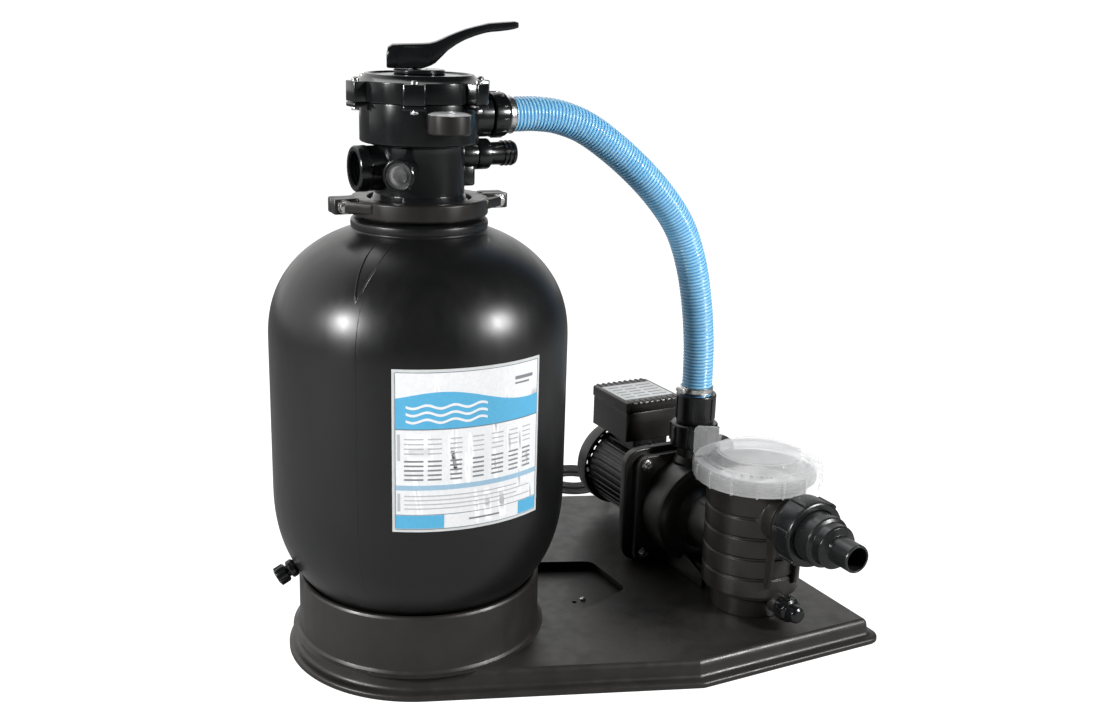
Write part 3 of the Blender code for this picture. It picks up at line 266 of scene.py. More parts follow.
def clear_plastic(name, tint, rough, clearest, milkiest):
    """Clear moulding: clearest where it is seen square on, milkiest where it is seen edge on."""
    made, tree, shader = graph(name)
    shader.inputs["IOR"].default_value = 1.5
    edge = tree.nodes.new("ShaderNodeLayerWeight")
    edge.inputs["Blend"].default_value = 0.35
    streak = noise(tree, 0.02, 3)
    tree.links.new(spread(tree, edge.outputs["Facing"], clearest, milkiest, 0.15, 0.95),
                   shader.inputs["Alpha"])
    tree.links.new(blend_colours(tree, spread(tree, streak, 0, 1), tint, (0.95, 0.95, 0.95)),
                   shader.inputs["Base Color"])
    tree.links.new(spread(tree, streak, *rough), shader.inputs["Roughness"])
    bump(tree, shader, noise(tree, 0.012, 2), 0.00006)
    return made


def metal(name, dark, light, rough):
    """Drawn or turned steel with fine brushed lines."""
    made, tree, shader = graph(name)
    shader.inputs["Metallic"].default_value = 1.0
    lines = noise(tree, 0.004, 4, (1, 1, 14))
    tree.links.new(blend_colours(tree, spread(tree, lines, 0, 1), dark, light), shader.inputs["Base Color"])
    tree.links.new(spread(tree, lines, *rough), shader.inputs["Roughness"])
    bump(tree, shader, lines, 0.00004)
    return made


def hose_vinyl():
    """Blue vinyl, darker in the groove between the turns of its spiral: how near a point is to the top of a
    turn is a value on the mesh."""
    made, tree, shader = graph("hose vinyl")
    spiral = tree.nodes.new("ShaderNodeAttribute")
    spiral.attribute_name = "spiral"
    cloud = noise(tree, 0.03, 3)
    wall = blend_colours(tree, spread(tree, cloud, 0, 1), (0.30, 0.65, 0.96), (0.38, 0.72, 0.98))
    crest = spread(tree, spiral.outputs["Fac"], 0, 1, 0.30, 0.62)
    tree.links.new(blend_colours(tree, crest, (0.13, 0.42, 0.82), wall), shader.inputs["Base Color"])
    tree.links.new(spread(tree, cloud, 0.16, 0.26), shader.inputs["Roughness"])
    shader.inputs["Transmission Weight"].default_value = 0.12
    shader.inputs["Subsurface Weight"].default_value = 0.35
    shader.inputs["Subsurface Radius"].default_value = (0.4, 0.8, 1.0)
    shader.inputs["Subsurface Scale"].default_value = 0.008
    bump(tree, shader, noise(tree, 0.006, 2), 0.00008)
    return made


def printed(name, colour, rough=0.38):
    """Printed film: even colour with the faint mottle of ink."""
    made, tree, shader = graph(name)
    mottle = noise(tree, 0.004, 4)
    darker = tuple(c * 0.94 for c in colour)
    tree.links.new(blend_colours(tree, spread(tree, mottle, 0, 1), darker, colour),
                   shader.inputs["Base Color"])
    tree.links.new(spread(tree, mottle, rough, rough + 0.08), shader.inputs["Roughness"])
    bump(tree, shader, noise(tree, 0.02, 2), 0.00008)
    return made


TANK_PLASTIC = moulded("tank plastic", (0.0040, 0.0042, 0.0044), (0.0058, 0.0059, 0.0059), (0.31, 0.36),
                       0.0016, 0.00002, 0.0009)
BASE_PLASTIC = moulded("base plastic", (0.014, 0.0125, 0.0115), (0.019, 0.017, 0.0155), (0.36, 0.46),
                       0.0014, 0.00005, 0.0004)
CLAMP_PLASTIC = moulded("clamp plastic", (0.0095, 0.0082, 0.0074), (0.013, 0.0115, 0.0105), (0.28, 0.38),
                        0.0018, 0.00003, 0.0004)
VALVE_PLASTIC = moulded("valve plastic", (0.0040, 0.0045, 0.005), (0.0060, 0.0066, 0.007), (0.15, 0.23),
                        0.0025, 0.00002, 0.0005)
PUMP_PLASTIC = moulded("pump plastic", (0.014, 0.013, 0.0115), (0.019, 0.0175, 0.0155), (0.32, 0.44),
                       0.0020, 0.00004, 0.0005)
FITTING_PLASTIC = moulded("fitting plastic", (0.008, 0.0085, 0.009), (0.013, 0.0135, 0.014), (0.24, 0.34),
                          0.0020, 0.00003, 0.0003)
MOTOR_PAINT = moulded("motor paint", (0.0035, 0.0035, 0.0035), (0.0055, 0.0055, 0.0055), (0.24, 0.34),
                      0.0012, 0.00004)
INNER_PLASTIC = moulded("inner plastic", (0.62, 0.62, 0.60), (0.74, 0.74, 0.72), (0.35, 0.5), 0.0015,
                        0.00003)
RUBBER = moulded("rubber", (0.010, 0.010, 0.010), (0.016, 0.016, 0.016), (0.55, 0.7), 0.0008, 0.00004)
NEEDLE_PAINT = moulded("needle paint", (0.42, 0.03, 0.02), (0.50, 0.05, 0.03), (0.3, 0.4), 0.001, 0.00001)
CLEAR_PLASTIC = clear_plastic("clear plastic", (0.84, 0.85, 0.86), (0.05, 0.12), 0.24, 0.50)
SIGHT_PLASTIC = clear_plastic("sight plastic", (0.20, 0.21, 0.20), (0.04, 0.09), 0.05, 0.45)
STEEL = metal("steel", (0.52, 0.52, 0.51), (0.72, 0.72, 0.71), (0.2, 0.34))
CORE_STEEL = metal("core steel", (0.20, 0.20, 0.21), (0.34, 0.34, 0.34), (0.35, 0.5))
HOSE_VINYL = hose_vinyl()
LABEL_WHITE = printed("label white", (0.85, 0.86, 0.87))
LABEL_BLUE = printed("label blue", (0.10, 0.44, 0.70))
LABEL_PALE_BLUE = printed("label pale blue", (0.34, 0.53, 0.68))
LABEL_GREY = printed("label grey", (0.22, 0.23, 0.25))
LABEL_LINE = printed("label line", (0.14, 0.19, 0.23))
LABEL_SILVER = printed("label silver", (0.66, 0.68, 0.68), 0.30)


# ---------------------------------------------------------------- mesh helpers

def finished(name, bm, finish, sharp=SHARP_ANGLE):
    bmesh.ops.remove_doubles(bm, verts=bm.verts, dist=0.000002)
    bmesh.ops.recalc_face_normals(bm, faces=bm.faces)
    mesh = bpy.data.meshes.new(name)
    bm.to_mesh(mesh)
    bm.free()
    mesh.materials.append(finish)
    mesh.shade_smooth()
    mesh.set_sharp_from_angle(angle=sharp)
    obj = bpy.data.objects.new(name, mesh)
    bpy.context.scene.collection.objects.link(obj)
    return obj


def loft(name, rings, where, finish, closed=False, open_rings=False, sharp=SHARP_ANGLE):
    """A skin through rings of as many points each. A ring of one point is a pole; closed joins last to
    first, and open_rings leaves the rings' own ends apart, with a cap on each side."""
    bm = bmesh.new()
    made = [[bm.verts.new(where @ Vector(p)) for p in ring] for ring in rings]
    pairs = list(zip(made, made[1:]))
    if closed:
        pairs.append((made[-1], made[0]))
    for one, two in pairs:
        count = max(len(one), len(two))
        for i in range(count - 1 if open_rings else count):
            j = (i + 1) % count
            corners = [one[i % len(one)], one[j % len(one)], two[j % len(two)], two[i % len(two)]]
            corners = list(dict.fromkeys(corners))
            if len(corners) > 2:
                bm.faces.new(corners)
    if open_rings:
        bm.faces.new([ring[0] for ring in made])
        bm.faces.new([ring[-1] for ring in reversed(made)])
    elif not closed:
        for ring in (made[0], made[-1]):
            if len(ring) > 2:
                bm.faces.new(ring)
    return finished(name, bm, finish, sharp)


def soft(points, radius, steps=3, loop=False):
    """A polyline with its corners rounded, as far as the neighbouring edges allow."""
    points = [Vector(p) for p in points]
    rounded_ = [] if loop else [points[0]]
    here = range(len(points)) if loop else range(1, len(points) - 1)
    for i in here:
        before, corner, after = points[i - 1], points[i], points[(i + 1) % len(points)]
        one, two = before - corner, after - corner
        if one.length < 1e-7 or two.length < 1e-7 or one.angle(two) > math.radians(160):
            rounded_.append(corner)
            continue
        half = one.angle(two) / 2
        reach = min(radius / math.tan(half), one.length * 0.45, two.length * 0.45)
        start, stop = corner + one.normalized() * reach, corner + two.normalized() * reach
        for step in range(steps + 1):
            t = step / steps
            rounded_.append(start * (1 - t) ** 2 + corner * 2 * t * (1 - t) + stop * t**2)
    if not loop:
        rounded_.append(points[-1])
    return [tuple(p) for p in rounded_]


def turned(name, profile, where, finish, edge=0.0008, segments=ROUND, loop=False, swing=None):
    """A turned solid from (radius, height) pairs, with softened corners. A loop closes on itself; swing is
    the first and last angle of a part turn, in degrees."""
    profile = soft(profile, edge, 3, loop)
    start, stop = swing or (0, 360)
    count = segments + 1 if swing else segments
    angles = [math.radians(start + (stop - start) * i / segments) for i in range(count)]
    rings = []
    for r, z in profile:
        if r < 1e-7:
            rings.append([(0, 0, z)])
        else:
            rings.append([(r * math.cos(a), r * math.sin(a), z) for a in angles])
    return loft(name, rings, where, finish, closed=loop, open_rings=bool(swing))


def rod(name, radius, start, stop, where, finish, edge=0.0008, segments=ROUND):
    """A plain round rod between two heights."""
    return turned(name, [(0, start), (radius, start), (radius, stop), (0, stop)], where, finish, edge,
                  segments)


def inset(outline, distance):
    """A closed anticlockwise outline moved inwards."""
    moved = []
    for before, here, after in zip(outline[-1:] + outline[:-1], outline, outline[1:] + outline[:1]):
        one = (Vector(here) - Vector(before)).normalized()
        two = (Vector(after) - Vector(here)).normalized()
        inward_one, inward_two = Vector((-one.y, one.x)), Vector((-two.y, two.x))
        share = max(0.3, 1 + inward_one.dot(inward_two))
        moved.append(tuple(Vector(here) + (inward_one + inward_two) * distance / share))
    return moved


def slab(name, outline, low, high, where, finish, edge=0.001, steps=3):
    """A flat outline raised from low to high, with its top and bottom edges rounded."""
    levels = []
    for i in range(steps + 1):
        angle = math.pi / 2 * i / steps
        levels.append((edge * (1 - math.sin(angle)), low + edge * (1 - math.cos(angle))))
    levels += [(inward, low + high - level) for inward, level in reversed(levels)]
    rings = [[(x, y, z) for x, y in inset(outline, inward)] for inward, z in levels]
    return loft(name, rings, where, finish)


def rounded(corners, radius, steps=4):
    return soft(corners, radius, steps, loop=True)


def brick(name, low, high, where, finish, edge=0.001, corner=0.0015):
    """A rectangular block with rounded corners."""
    corners = [(low[0], low[1]), (high[0], low[1]), (high[0], high[1]), (low[0], high[1])]
    return slab(name, rounded(corners, corner, 3), low[2], high[2], where, finish, edge, 2)


def along(point, direction):
    turn = Vector((0, 0, 1)).rotation_difference(Vector(direction).normalized())
    return Matrix.Translation(point) @ turn.to_matrix().to_4x4()


def radial(heading, height, reach=0.0):
    """A frame whose +Z points outwards from the tank axis at a heading and a height."""
    out = Vector((math.cos(heading), math.sin(heading), 0))
    return along(TANK_AXIS + out * reach + Vector((0, 0, height)), out)


def pump_along(x, height, forwards=False):
    turn = Matrix.Rotation(math.radians(-90 if forwards else 90), 4, "Y")
    return PUMP @ Matrix.Translation((x, 0, height)) @ turn


def pump_upright(x):
    return PUMP @ Matrix.Translation((x, 0, 0))


def spun(where, angle):
    return where @ Matrix.Rotation(angle, 4, "Z")


def around(where, count, first=0.0):
    return [spun(where, first + math.tau * i / count) for i in range(count)]


def blocks(name, where, count, radii, half, heights, finish, edge, corner, first=0.0):
    """Equal blocks spread around a frame's axis, each between two radii and two heights."""
    low = (radii[0], -half, heights[0])
    high = (radii[1], half, heights[1])
    return [brick(name, low, high, spot, finish, edge, corner) for spot in around(where, count, first)]


def fused(name, parts, cuts=()):
    """Parts joined into one solid, then cut."""
    body = parts[0]
    for tool, operation in [(p, "UNION") for p in parts[1:]] + [(c, "DIFFERENCE") for c in cuts]:
        step = body.modifiers.new(operation.lower(), "BOOLEAN")
        step.operation = operation
        step.object = tool
        step.solver = "MANIFOLD"
        bpy.context.view_layer.update()
        shown = body.evaluated_get(bpy.context.evaluated_depsgraph_get())
        mesh = bpy.data.meshes.new_from_object(shown)
        body.modifiers.clear()
        body.data = mesh
        bpy.data.objects.remove(tool, do_unlink=True)
    body.data.shade_smooth()
    body.data.set_sharp_from_angle(angle=SHARP_ANGLE)
    body.name = name
    body.data.name = name
    return body


def ready(piece, body, slot, *nodes):
    """Gives a piece its body and hides the CAD nodes that it stands for; slot is not used."""
    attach(piece, body)
    if nodes:
        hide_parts(*nodes)
    return piece


def smooth_line(knots, count):
    """Points evenly spread along the smooth curve through knots."""
    knots = [Vector(p) for p in knots]
    padded = [2 * knots[0] - knots[1], *knots, 2 * knots[-1] - knots[-2]]
    fine = []
    for a, b, c, d in zip(padded, padded[1:], padded[2:], padded[3:]):
        for step in range(24):
            t = step / 24
            fine.append(0.5 * (2 * b + (c - a) * t + (2 * a - 5 * b + 4 * c - d) * t**2
                               + (3 * b - a - 3 * c + d) * t**3))
    fine.append(knots[-1])
    travel = [0.0]
    for first, second in zip(fine, fine[1:]):
        travel.append(travel[-1] + (second - first).length)
    points, spot = [], 0
    for index in range(count):
        target = travel[-1] * index / (count - 1)
        while spot < len(travel) - 2 and travel[spot + 1] < target:
            spot += 1
        share = (target - travel[spot]) / (travel[spot + 1] - travel[spot])
        points.append(fine[spot].lerp(fine[spot + 1], share))
    return points


def frames_along(points):
    """A frame at each point whose +Z runs along the line, turned as little as can be between points."""
    ways = [(b - a).normalized() for a, b in zip(points, points[1:])]
    ways.append(ways[-1])
    turn = Vector((0, 0, 1)).rotation_difference(ways[0])
    made = []
    last = ways[0]
    for point, way in zip(points, ways):
        turn = last.rotation_difference(way) @ turn
        last = way
        made.append(Matrix.Translation(point) @ turn.to_matrix().to_4x4())
    return made


# ---------------------------------------------------------------- cords

HOSE_ROUTE = (
    (0.0996, 0.694), (0.131, 0.694), (0.160, 0.6937), (0.194, 0.6885), (0.236, 0.672), (0.292, 0.634),
    (0.344, 0.588), (0.384, 0.539), (0.407, 0.487), (0.421, 0.430), (0.429, 0.372), (0.431, 0.325),
    (0.431, 0.295), (0.431, 0.264),
)
HOSE_RADIUS = 0.0218
HOSE_WALL = 0.0028
HOSE_PITCH = 0.0049
HOSE_GROOVE = 0.0011
RINGS_A_TURN = 7
CABLE_ROUTE = (
    (0.3925, 0.000, 0.212), (0.412, 0.000, 0.211), (0.430, -0.003, 0.197), (0.4385, -0.010, 0.158),
    (0.440, -0.020, 0.110), (0.441, -0.030, 0.062), (0.447, -0.040, 0.026), (0.462, -0.052, 0.0075),
    (0.480, -0.063, 0.0042), (0.500, -0.0745, 0.0042), (0.520, -0.0840, 0.0042), (0.541, -0.0905, 0.0042),
)
CABLE_RADIUS = 0.0039
COIL_CENTRE = (0.562, -0.029)
COIL_RADII = (0.0518, 0.0440, 0.0362)
LAYER_HEIGHTS = (0.0043, 0.0123)
TURN_POINTS = 16
COIL_EXIT = math.radians(135) - PUMP_HEADING
PLUG_WAY = Vector((-1, -1, 0)).normalized()
PLUG_OFFSET = Vector((-0.0615, 0.0120, 0.0193))


def line_length(points):
    return sum((b - a).length for a, b in zip(points, points[1:]))


def hose():
    """A spiral-wound hose: each ring of its skin is a little fatter where the stiff spiral passes."""
    knots = [TANK_AXIS + PORT_LINE * reach + Vector((0, 0, height)) for reach, height in HOSE_ROUTE]
    length = line_length(smooth_line(knots, 200))
    steps = int(length / HOSE_PITCH * RINGS_A_TURN)
    line = smooth_line(knots, steps)
    around_count = 40
    bm = bmesh.new()
    spiral = bm.verts.layers.float.new("spiral")
    outer, inner = [], []
    for index, place in enumerate(frames_along(line)):
        travel = length * index / (steps - 1)
        ring_out, ring_in = [], []
        for step in range(around_count):
            angle = math.tau * step / around_count
            phase = math.tau * (travel / HOSE_PITCH) - angle
            height = 0.5 + 0.5 * math.cos(phase)
            fat = HOSE_RADIUS - HOSE_GROOVE * (1 - height) ** 2
            side = Vector((math.cos(angle), math.sin(angle), 0))
            vert = bm.verts.new(place @ (side * fat))
            vert[spiral] = height
            ring_out.append(vert)
            if index % RINGS_A_TURN == 0 or index == steps - 1:
                vert = bm.verts.new(place @ (side * (HOSE_RADIUS - HOSE_WALL)))
                vert[spiral] = 0.8
                ring_in.append(vert)
        outer.append(ring_out)
        if ring_in:
            inner.append(ring_in)
    for rings in (outer, inner):
        for one, two in zip(rings, rings[1:]):
            for i in range(around_count):
                j = (i + 1) % around_count
                bm.faces.new((one[i], one[j], two[j], two[i]))
    for one, two in ((outer[0], inner[0]), (outer[-1], inner[-1])):
        for i in range(around_count):
            j = (i + 1) % around_count
            bm.faces.new((one[i], one[j], two[j], two[i]))
    piece = finished("connecting_hose_skin", bm, HOSE_VINYL)
    ready(piece, "base", "hose_vinyl", "connecting_hose")
    [tuple(p) for p in smooth_line(knots, 40)]


def coil_points():
    """The cable's turns in the pump's frame: inwards on the floor, then outwards on top of them."""
    start = math.atan2(CABLE_ROUTE[-1][1] - COIL_CENTRE[1], CABLE_ROUTE[-1][0] - COIL_CENTRE[0])
    radii = [*COIL_RADII, *reversed(COIL_RADII)]
    turns = len(radii)
    sweep = math.tau * (turns - 1) + (COIL_EXIT - start) % math.tau
    total = int(turns * TURN_POINTS)
    points = []
    for index in range(2, total + 1):
        turn = (sweep * index / total) / math.tau
        lap = min(int(turn), turns - 1)
        # each lap keeps its radius and moves over to the next in its last fifth
        share = max(0.0, (turn - lap - 0.80) / 0.20) if lap < turns - 1 else 0.0
        share = share * share * (3 - 2 * share)
        radius = radii[lap] + (radii[min(lap + 1, turns - 1)] - radii[lap]) * share
        layer = [0 if k < len(COIL_RADII) else 1 for k in (lap, min(lap + 1, turns - 1))]
        low, high = LAYER_HEIGHTS[layer[0]], LAYER_HEIGHTS[layer[1]]
        if lap == 0:
            # the first lap starts wide, where the free run comes in
            radius += 0.0135 * max(0.0, 1 - turn * 3.5) ** 2
        angle = start + math.tau * turn
        points.append((COIL_CENTRE[0] + radius * math.cos(angle), COIL_CENTRE[1] + radius * math.sin(angle),
                       low + (high - low) * share))
    return points


def mains_cable():
    free = smooth_line(CABLE_ROUTE, 30)
    turns = [Vector(p) for p in coil_points()]
    line = [PUMP @ p for p in free + turns]
    plug_end = PUMP @ Vector((*COIL_CENTRE, 0)) + PLUG_OFFSET
    middle = line[-1].lerp(plug_end, 0.5)
    tail = smooth_line([line[-2], line[-1], middle, plug_end - PLUG_WAY * 0.006, plug_end], 12)[3:]
    curve = bpy.data.curves.new("mains_cable_run", "CURVE")
    curve.dimensions = "3D"
    curve.bevel_depth = CABLE_RADIUS
    curve.bevel_resolution = 5
    curve.use_fill_caps = True
    curve.resolution_u = 3
    spline = curve.splines.new("BEZIER")
    route = line + tail
    spline.bezier_points.add(len(route) - 1)
    for point, place in zip(spline.bezier_points, route):
        point.co = place
        point.handle_left_type = point.handle_right_type = "AUTO"
    curve.materials.append(RUBBER)
    piece = bpy.data.objects.new("mains_cable_run", curve)
    bpy.context.scene.collection.objects.link(piece)
    ready(piece, "base", "cable_rubber", "mains_cable", "cable_coil")
    plug = mains_plug(plug_end)
    relief = strain_relief()


def mains_plug(end):
    """A moulded round two-pin plug lying beside the coil, its grip narrowed and ribbed."""
    where = along(end, PLUG_WAY)
    profile = [(0, 0), (0.0052, 0), (0.0060, 0.010), (0.0078, 0.024), (0.0125, 0.033), (0.0172, 0.041),
               (0.0186, 0.046), (0.0188, 0.058), (0.0170, 0.061), (0, 0.0615)]
    parts = [turned("mains_plug_body", profile, where, RUBBER, 0.0015, 48)]
    for step in range(4):
        low = 0.008 + step * 0.0042
        ring = [(0.0045, low), (0.0078 + step * 0.0002, low), (0.0078 + step * 0.0002, low + 0.0022),
                (0.0045, low + 0.0022)]
        parts.append(turned("grip", ring, where, RUBBER, 0.0006, 32, loop=True))
    plug = fused("mains_plug_body", parts)
    ready(plug, "base", "cable_rubber", "mains_plug")
    pins = []
    for side in (-0.0095, 0.0095):
        pin = [(0, 0.055), (0.0024, 0.055), (0.0024, 0.079), (0.0012, 0.081), (0, 0.081)]
        pins.append(turned("pin", pin, where @ Matrix.Translation((0, side, 0)), STEEL, 0.0006, 20))
    ready(fused("mains_plug_pins", pins), "base", "steel")
    return plug


def strain_relief():
    """The gland's flexible sleeve, tapered towards the cable."""
    where = pump_along(0, GLAND_HEIGHT)
    profile = [(0.0040, 0.412), (0.0047, 0.4125), (0.0078, 0.391), (0.0080, 0.388), (0.0040, 0.388)]
    parts = [turned("cable_sleeve", profile, where, RUBBER, 0.0008, 40, loop=True)]
    for step in range(3):
        low = 0.3925 + step * 0.0055
        fat = 0.0079 - step * 0.0009
        parts.append(turned("ring", [(0.0042, low), (fat, low), (fat, low + 0.0026),
                                     (0.0042, low + 0.0026)], where, RUBBER, 0.0006, 40, loop=True))
    return ready(fused("cable_sleeve", parts), "base", "cable_rubber")


# ---------------------------------------------------------------- base

def arc(centre, radius, start, stop, count):
    angles = [math.radians(start + (stop - start) * i / (count - 1)) for i in range(count)]
    return [(centre[0] + radius * math.cos(a), centre[1] + radius * math.sin(a)) for a in angles]


def corner_arc(before, corner, after, radius, count=8):
    here = Vector(corner)
    one, two = (Vector(before) - here).normalized(), (Vector(after) - here).normalized()
    half = one.angle(two) / 2
    centre = here + (one + two).normalized() * radius / math.sin(half)
    start = here + one * radius / math.tan(half) - centre
    stop = here + two * radius / math.tan(half) - centre
    swing = start.angle_signed(stop)
    return [tuple(centre + Matrix.Rotation(-swing * i / count, 2) @ start) for i in range(count + 1)]


def base_outline():
    skirt = arc((0, 0), 0.173, 134, 270, 60)
    corners = [skirt[-1], (0.352, -0.173), (0.629, -0.074), (0.445, 0.430), (0.190, 0.430), skirt[0]]
    outline = skirt
    for before, corner, after in zip(corners, corners[1:], corners[2:]):
        outline = outline + corner_arc(before, corner, after, 0.022)
    return outline


def base():
    """A rotationally moulded platform with a rolled lip, a raised deck, a round pedestal and a pocket."""
    outline = base_outline()
    edge = [(0.0012, 0.0), (0.0, 0.0012), (0.0, 0.0052), (0.0007, 0.0069), (0.0024, 0.0079),
            (0.0062, 0.0083), (0.0098, 0.0087), (0.0122, 0.0102), (0.0136, 0.0132), (0.0148, 0.0205),
            (0.0160, 0.0252), (0.0180, 0.0280), (0.0202, 0.0294), (0.0217, 0.0300)]
    rings = [[(x, y, z) for x, y in inset(outline, inward)] for inward, z in edge]
    deck = loft("base_moulding", rings, TANK, BASE_PLASTIC)
    ring = [(0.150, 0.102), (0.1515, 0.1055), (0.154, 0.106), (0.1562, 0.1053), (0.1578, 0.1025),
            (0.1582, 0.040), (0.1592, 0.0345), (0.1618, 0.0313), (0.165, 0.0302), (0.168, 0.029),
            (0.150, 0.029)]
    pedestal = turned("pedestal", ring, TANK, BASE_PLASTIC, 0.0004, 160, loop=True)
    pocket = [(0.1700 * math.cos(math.radians(a)), 0.1700 * math.sin(math.radians(a)))
              for a in range(38, -3, -4)]
    pocket = pocket + rounded_corners([(0.212, -0.011), (0.248, 0.012), (0.296, 0.056), (0.261, 0.151),
                                       (0.150, 0.156)], pocket)
    walls = [(0.0050, 0.016), (0.0042, 0.0163), (0.0034, 0.0172), (0.0012, 0.0262), (0.0002, 0.0288),
             (-0.0016, 0.0299), (-0.0030, 0.0320)]
    rings = [[(x, y, z) for x, y in inset(pocket[::-1], inward)] for inward, z in walls]
    hole = loft("pocket", rings, TANK, BASE_PLASTIC)
    drain = turned("drain", [(0, 0.011), (0.0032, 0.011), (0.0036, 0.02), (0, 0.02)],
                   TANK @ Matrix.Translation((0.219, 0.047, 0)), BASE_PLASTIC, 0.0003, 24)
    piece = fused("base_moulding", [deck, pedestal], [hole, drain])
    for face in piece.data.polygons:
        if abs(face.normal.z) > 0.9999:
            face.use_smooth = False
    ready(piece, "base", "base_plastic", "base_platform")
    screw = TANK @ Matrix.Translation((0.232, 0.053, 0))
    head = turned("pocket_screw", [(0, 0.0196), (0.0022, 0.0196), (0.0042, 0.0182), (0.0042, 0.0158),
                                   (0, 0.0158)], screw, STEEL, 0.0003, 24)
    slot = brick("slot", (-0.0036, -0.0004, 0.0187), (0.0036, 0.0004, 0.021), screw, STEEL, 0.0001, 0.0001)
    ready(fused("pocket_screw", [head], [slot]), "base", "steel")


def rounded_corners(corners, ring):
    """The pocket's outer corners, rounded between the two ends of its inner arc."""
    chain = [ring[-1], *corners, ring[0]]
    made = []
    for before, corner, after in zip(chain, chain[1:], chain[2:]):
        one, two = Vector(before) - Vector(corner), Vector(after) - Vector(corner)
        reach = min(0.012, one.length * 0.4, two.length * 0.4)
        start, stop = Vector(corner) + one.normalized() * reach, Vector(corner) + two.normalized() * reach
        for step in range(5):
            t = step / 4
            made.append(tuple(start * (1 - t) ** 2 + Vector(corner) * 2 * t * (1 - t) + stop * t**2))
    return made


# ---------------------------------------------------------------- tank and label

def bow(radius, depth, power, steps, level):
    """A dome's profile from its rim towards its pole."""
    points = []
    for i in range(steps + 1):
        angle = math.pi / 2 * i / steps
        points.append((radius * math.cos(angle) ** (2 / power),
                       level + depth * math.sin(angle) ** (2 / power)))
    return points


def tank_side():
    """The tank's outer skin from the neck down to the pole underneath."""
    shoulder = [p for p in bow(TANK_RADIUS, SHOULDER_RISE, 2.3, 44, BARREL_TOP) if p[0] > 0.0835]
    bottom = bow(TANK_RADIUS, DOME_BOTTOM - BARREL_BOTTOM, 2.3, 36, BARREL_BOTTOM)
    bottom[-1] = (0, DOME_BOTTOM)
    return shoulder[::-1] + bottom


def skin_radius(height):
    side = [p for p in tank_side() if p[0] > 0.05]
    for (r1, z1), (r2, z2) in zip(side, side[1:]):
        if z2 <= height <= z1:
            return r2 + (r1 - r2) * (height - z2) / max(z1 - z2, 1e-9)
    return TANK_RADIUS


def ridge(name, heading, low, high, width, lift, lean=0.0):
    """A thin raised moulding line on the tank's skin, from one height to another."""
    rings = []
    steps = 40
    for i in range(steps + 1):
        z = low + (high - low) * i / steps
        fade = min(1.0, 6 * i / steps, 6 * (steps - i) / steps)
        turn = heading + lean * i / steps
        ring = []
        for across, out in ((-1, -0.4), (-0.45, 0.75), (0, 1), (0.45, 0.75), (1, -0.4)):
            r = skin_radius(z) + lift * (out * fade if out > 0 else out)
            a = turn + across * width / 2 / TANK_RADIUS
            ring.append((r * math.cos(a), r * math.sin(a), z))
        rings.append(ring)
    return loft(name, rings, TANK, TANK_PLASTIC)


def tank():
    neck = [(0, 0.560), (0.0595, 0.560), (0.0600, 0.583), (0.078, 0.583), (0.078, 0.5787), (0.074, 0.5784),
            (0.074, 0.5738), (0.0765, 0.5722), (0.0815, 0.5716), (0.0842, 0.5694), (0.0847, 0.5655),
            (0.0843, 0.5618), (0.0836, 0.5596), (0.0850, 0.5577), (0.0872, 0.5567)]
    side = [p for p in tank_side() if p[0] > 0.0885 or p[1] < BARREL_BOTTOM]
    shell = turned("tank_shell", soft(neck, 0.0012) + side, TANK, TANK_PLASTIC, 0.0001, 192)
    ready(shell, "base", "tank_plastic", "filter_tank")
    for index, heading in enumerate((-115, 65)):
        seam = ridge(f"tank_seam_{index + 1}", math.radians(heading), 0.075, 0.549, 0.0016, 0.00035)
        ready(seam, "base", "tank_plastic")
    for index, lean in enumerate((-6.0, 6.0)):
        rib = ridge(f"shoulder_rib_{index + 1}", math.radians(-117.5), 0.497, 0.553, 0.0046, 0.0019,
                    math.radians(lean))
        ready(rib, "base", "tank_plastic")
    out = Vector((math.cos(DRAIN_HEADING), math.sin(DRAIN_HEADING), 0))
    wall = TANK_AXIS + out * 0.163 + Vector((0, 0, 0.129))
    spigot = along(wall, out * math.cos(DRAIN_TILT) - Vector((0, 0, math.sin(DRAIN_TILT))))
    profile = [(0.0078, 0.022), (0.0078, 0.0130), (0.0105, 0.0122), (0.0118, 0.0105), (0.0118, 0.0055),
               (0.0105, 0.0035), (0.0085, 0.0020), (0.0085, -0.0095), (0.0042, -0.0095), (0.0042, 0.022)]
    ready(turned("drain_spigot", profile, spigot, VALVE_PLASTIC, 0.0006, 48, loop=True), "base",
          "valve_plastic", "tank_drain_spigot")
    cap = [(0, 0.0300), (0.0088, 0.0300), (0.0108, 0.0285), (0.0112, 0.0160), (0.0104, 0.0150),
           (0.0082, 0.0150), (0.0082, 0.0235), (0, 0.0235)]
    parts = [turned("drain_cap", cap, spigot, VALVE_PLASTIC, 0.0007, 48)]
    parts += blocks("grip", spigot, 8, (0.0095, 0.0123), 0.0020, (0.0165, 0.0290), VALVE_PLASTIC, 0.0007,
                    0.0008)
    ready(fused("drain_cap", parts), "tank_cap", "valve_plastic", "tank_drain_cap")


LABEL_LEFT = math.radians(-101.9)
LABEL_BOTTOM = 0.232
LABEL_WIDTH = 0.191
LABEL_HEIGHT = 0.197
SHEET_LIFT = 0.0001
FACE_LIFT = 0.00028
PRINT_LIFT = 0.00052
WAVE_LIFT = 0.00076


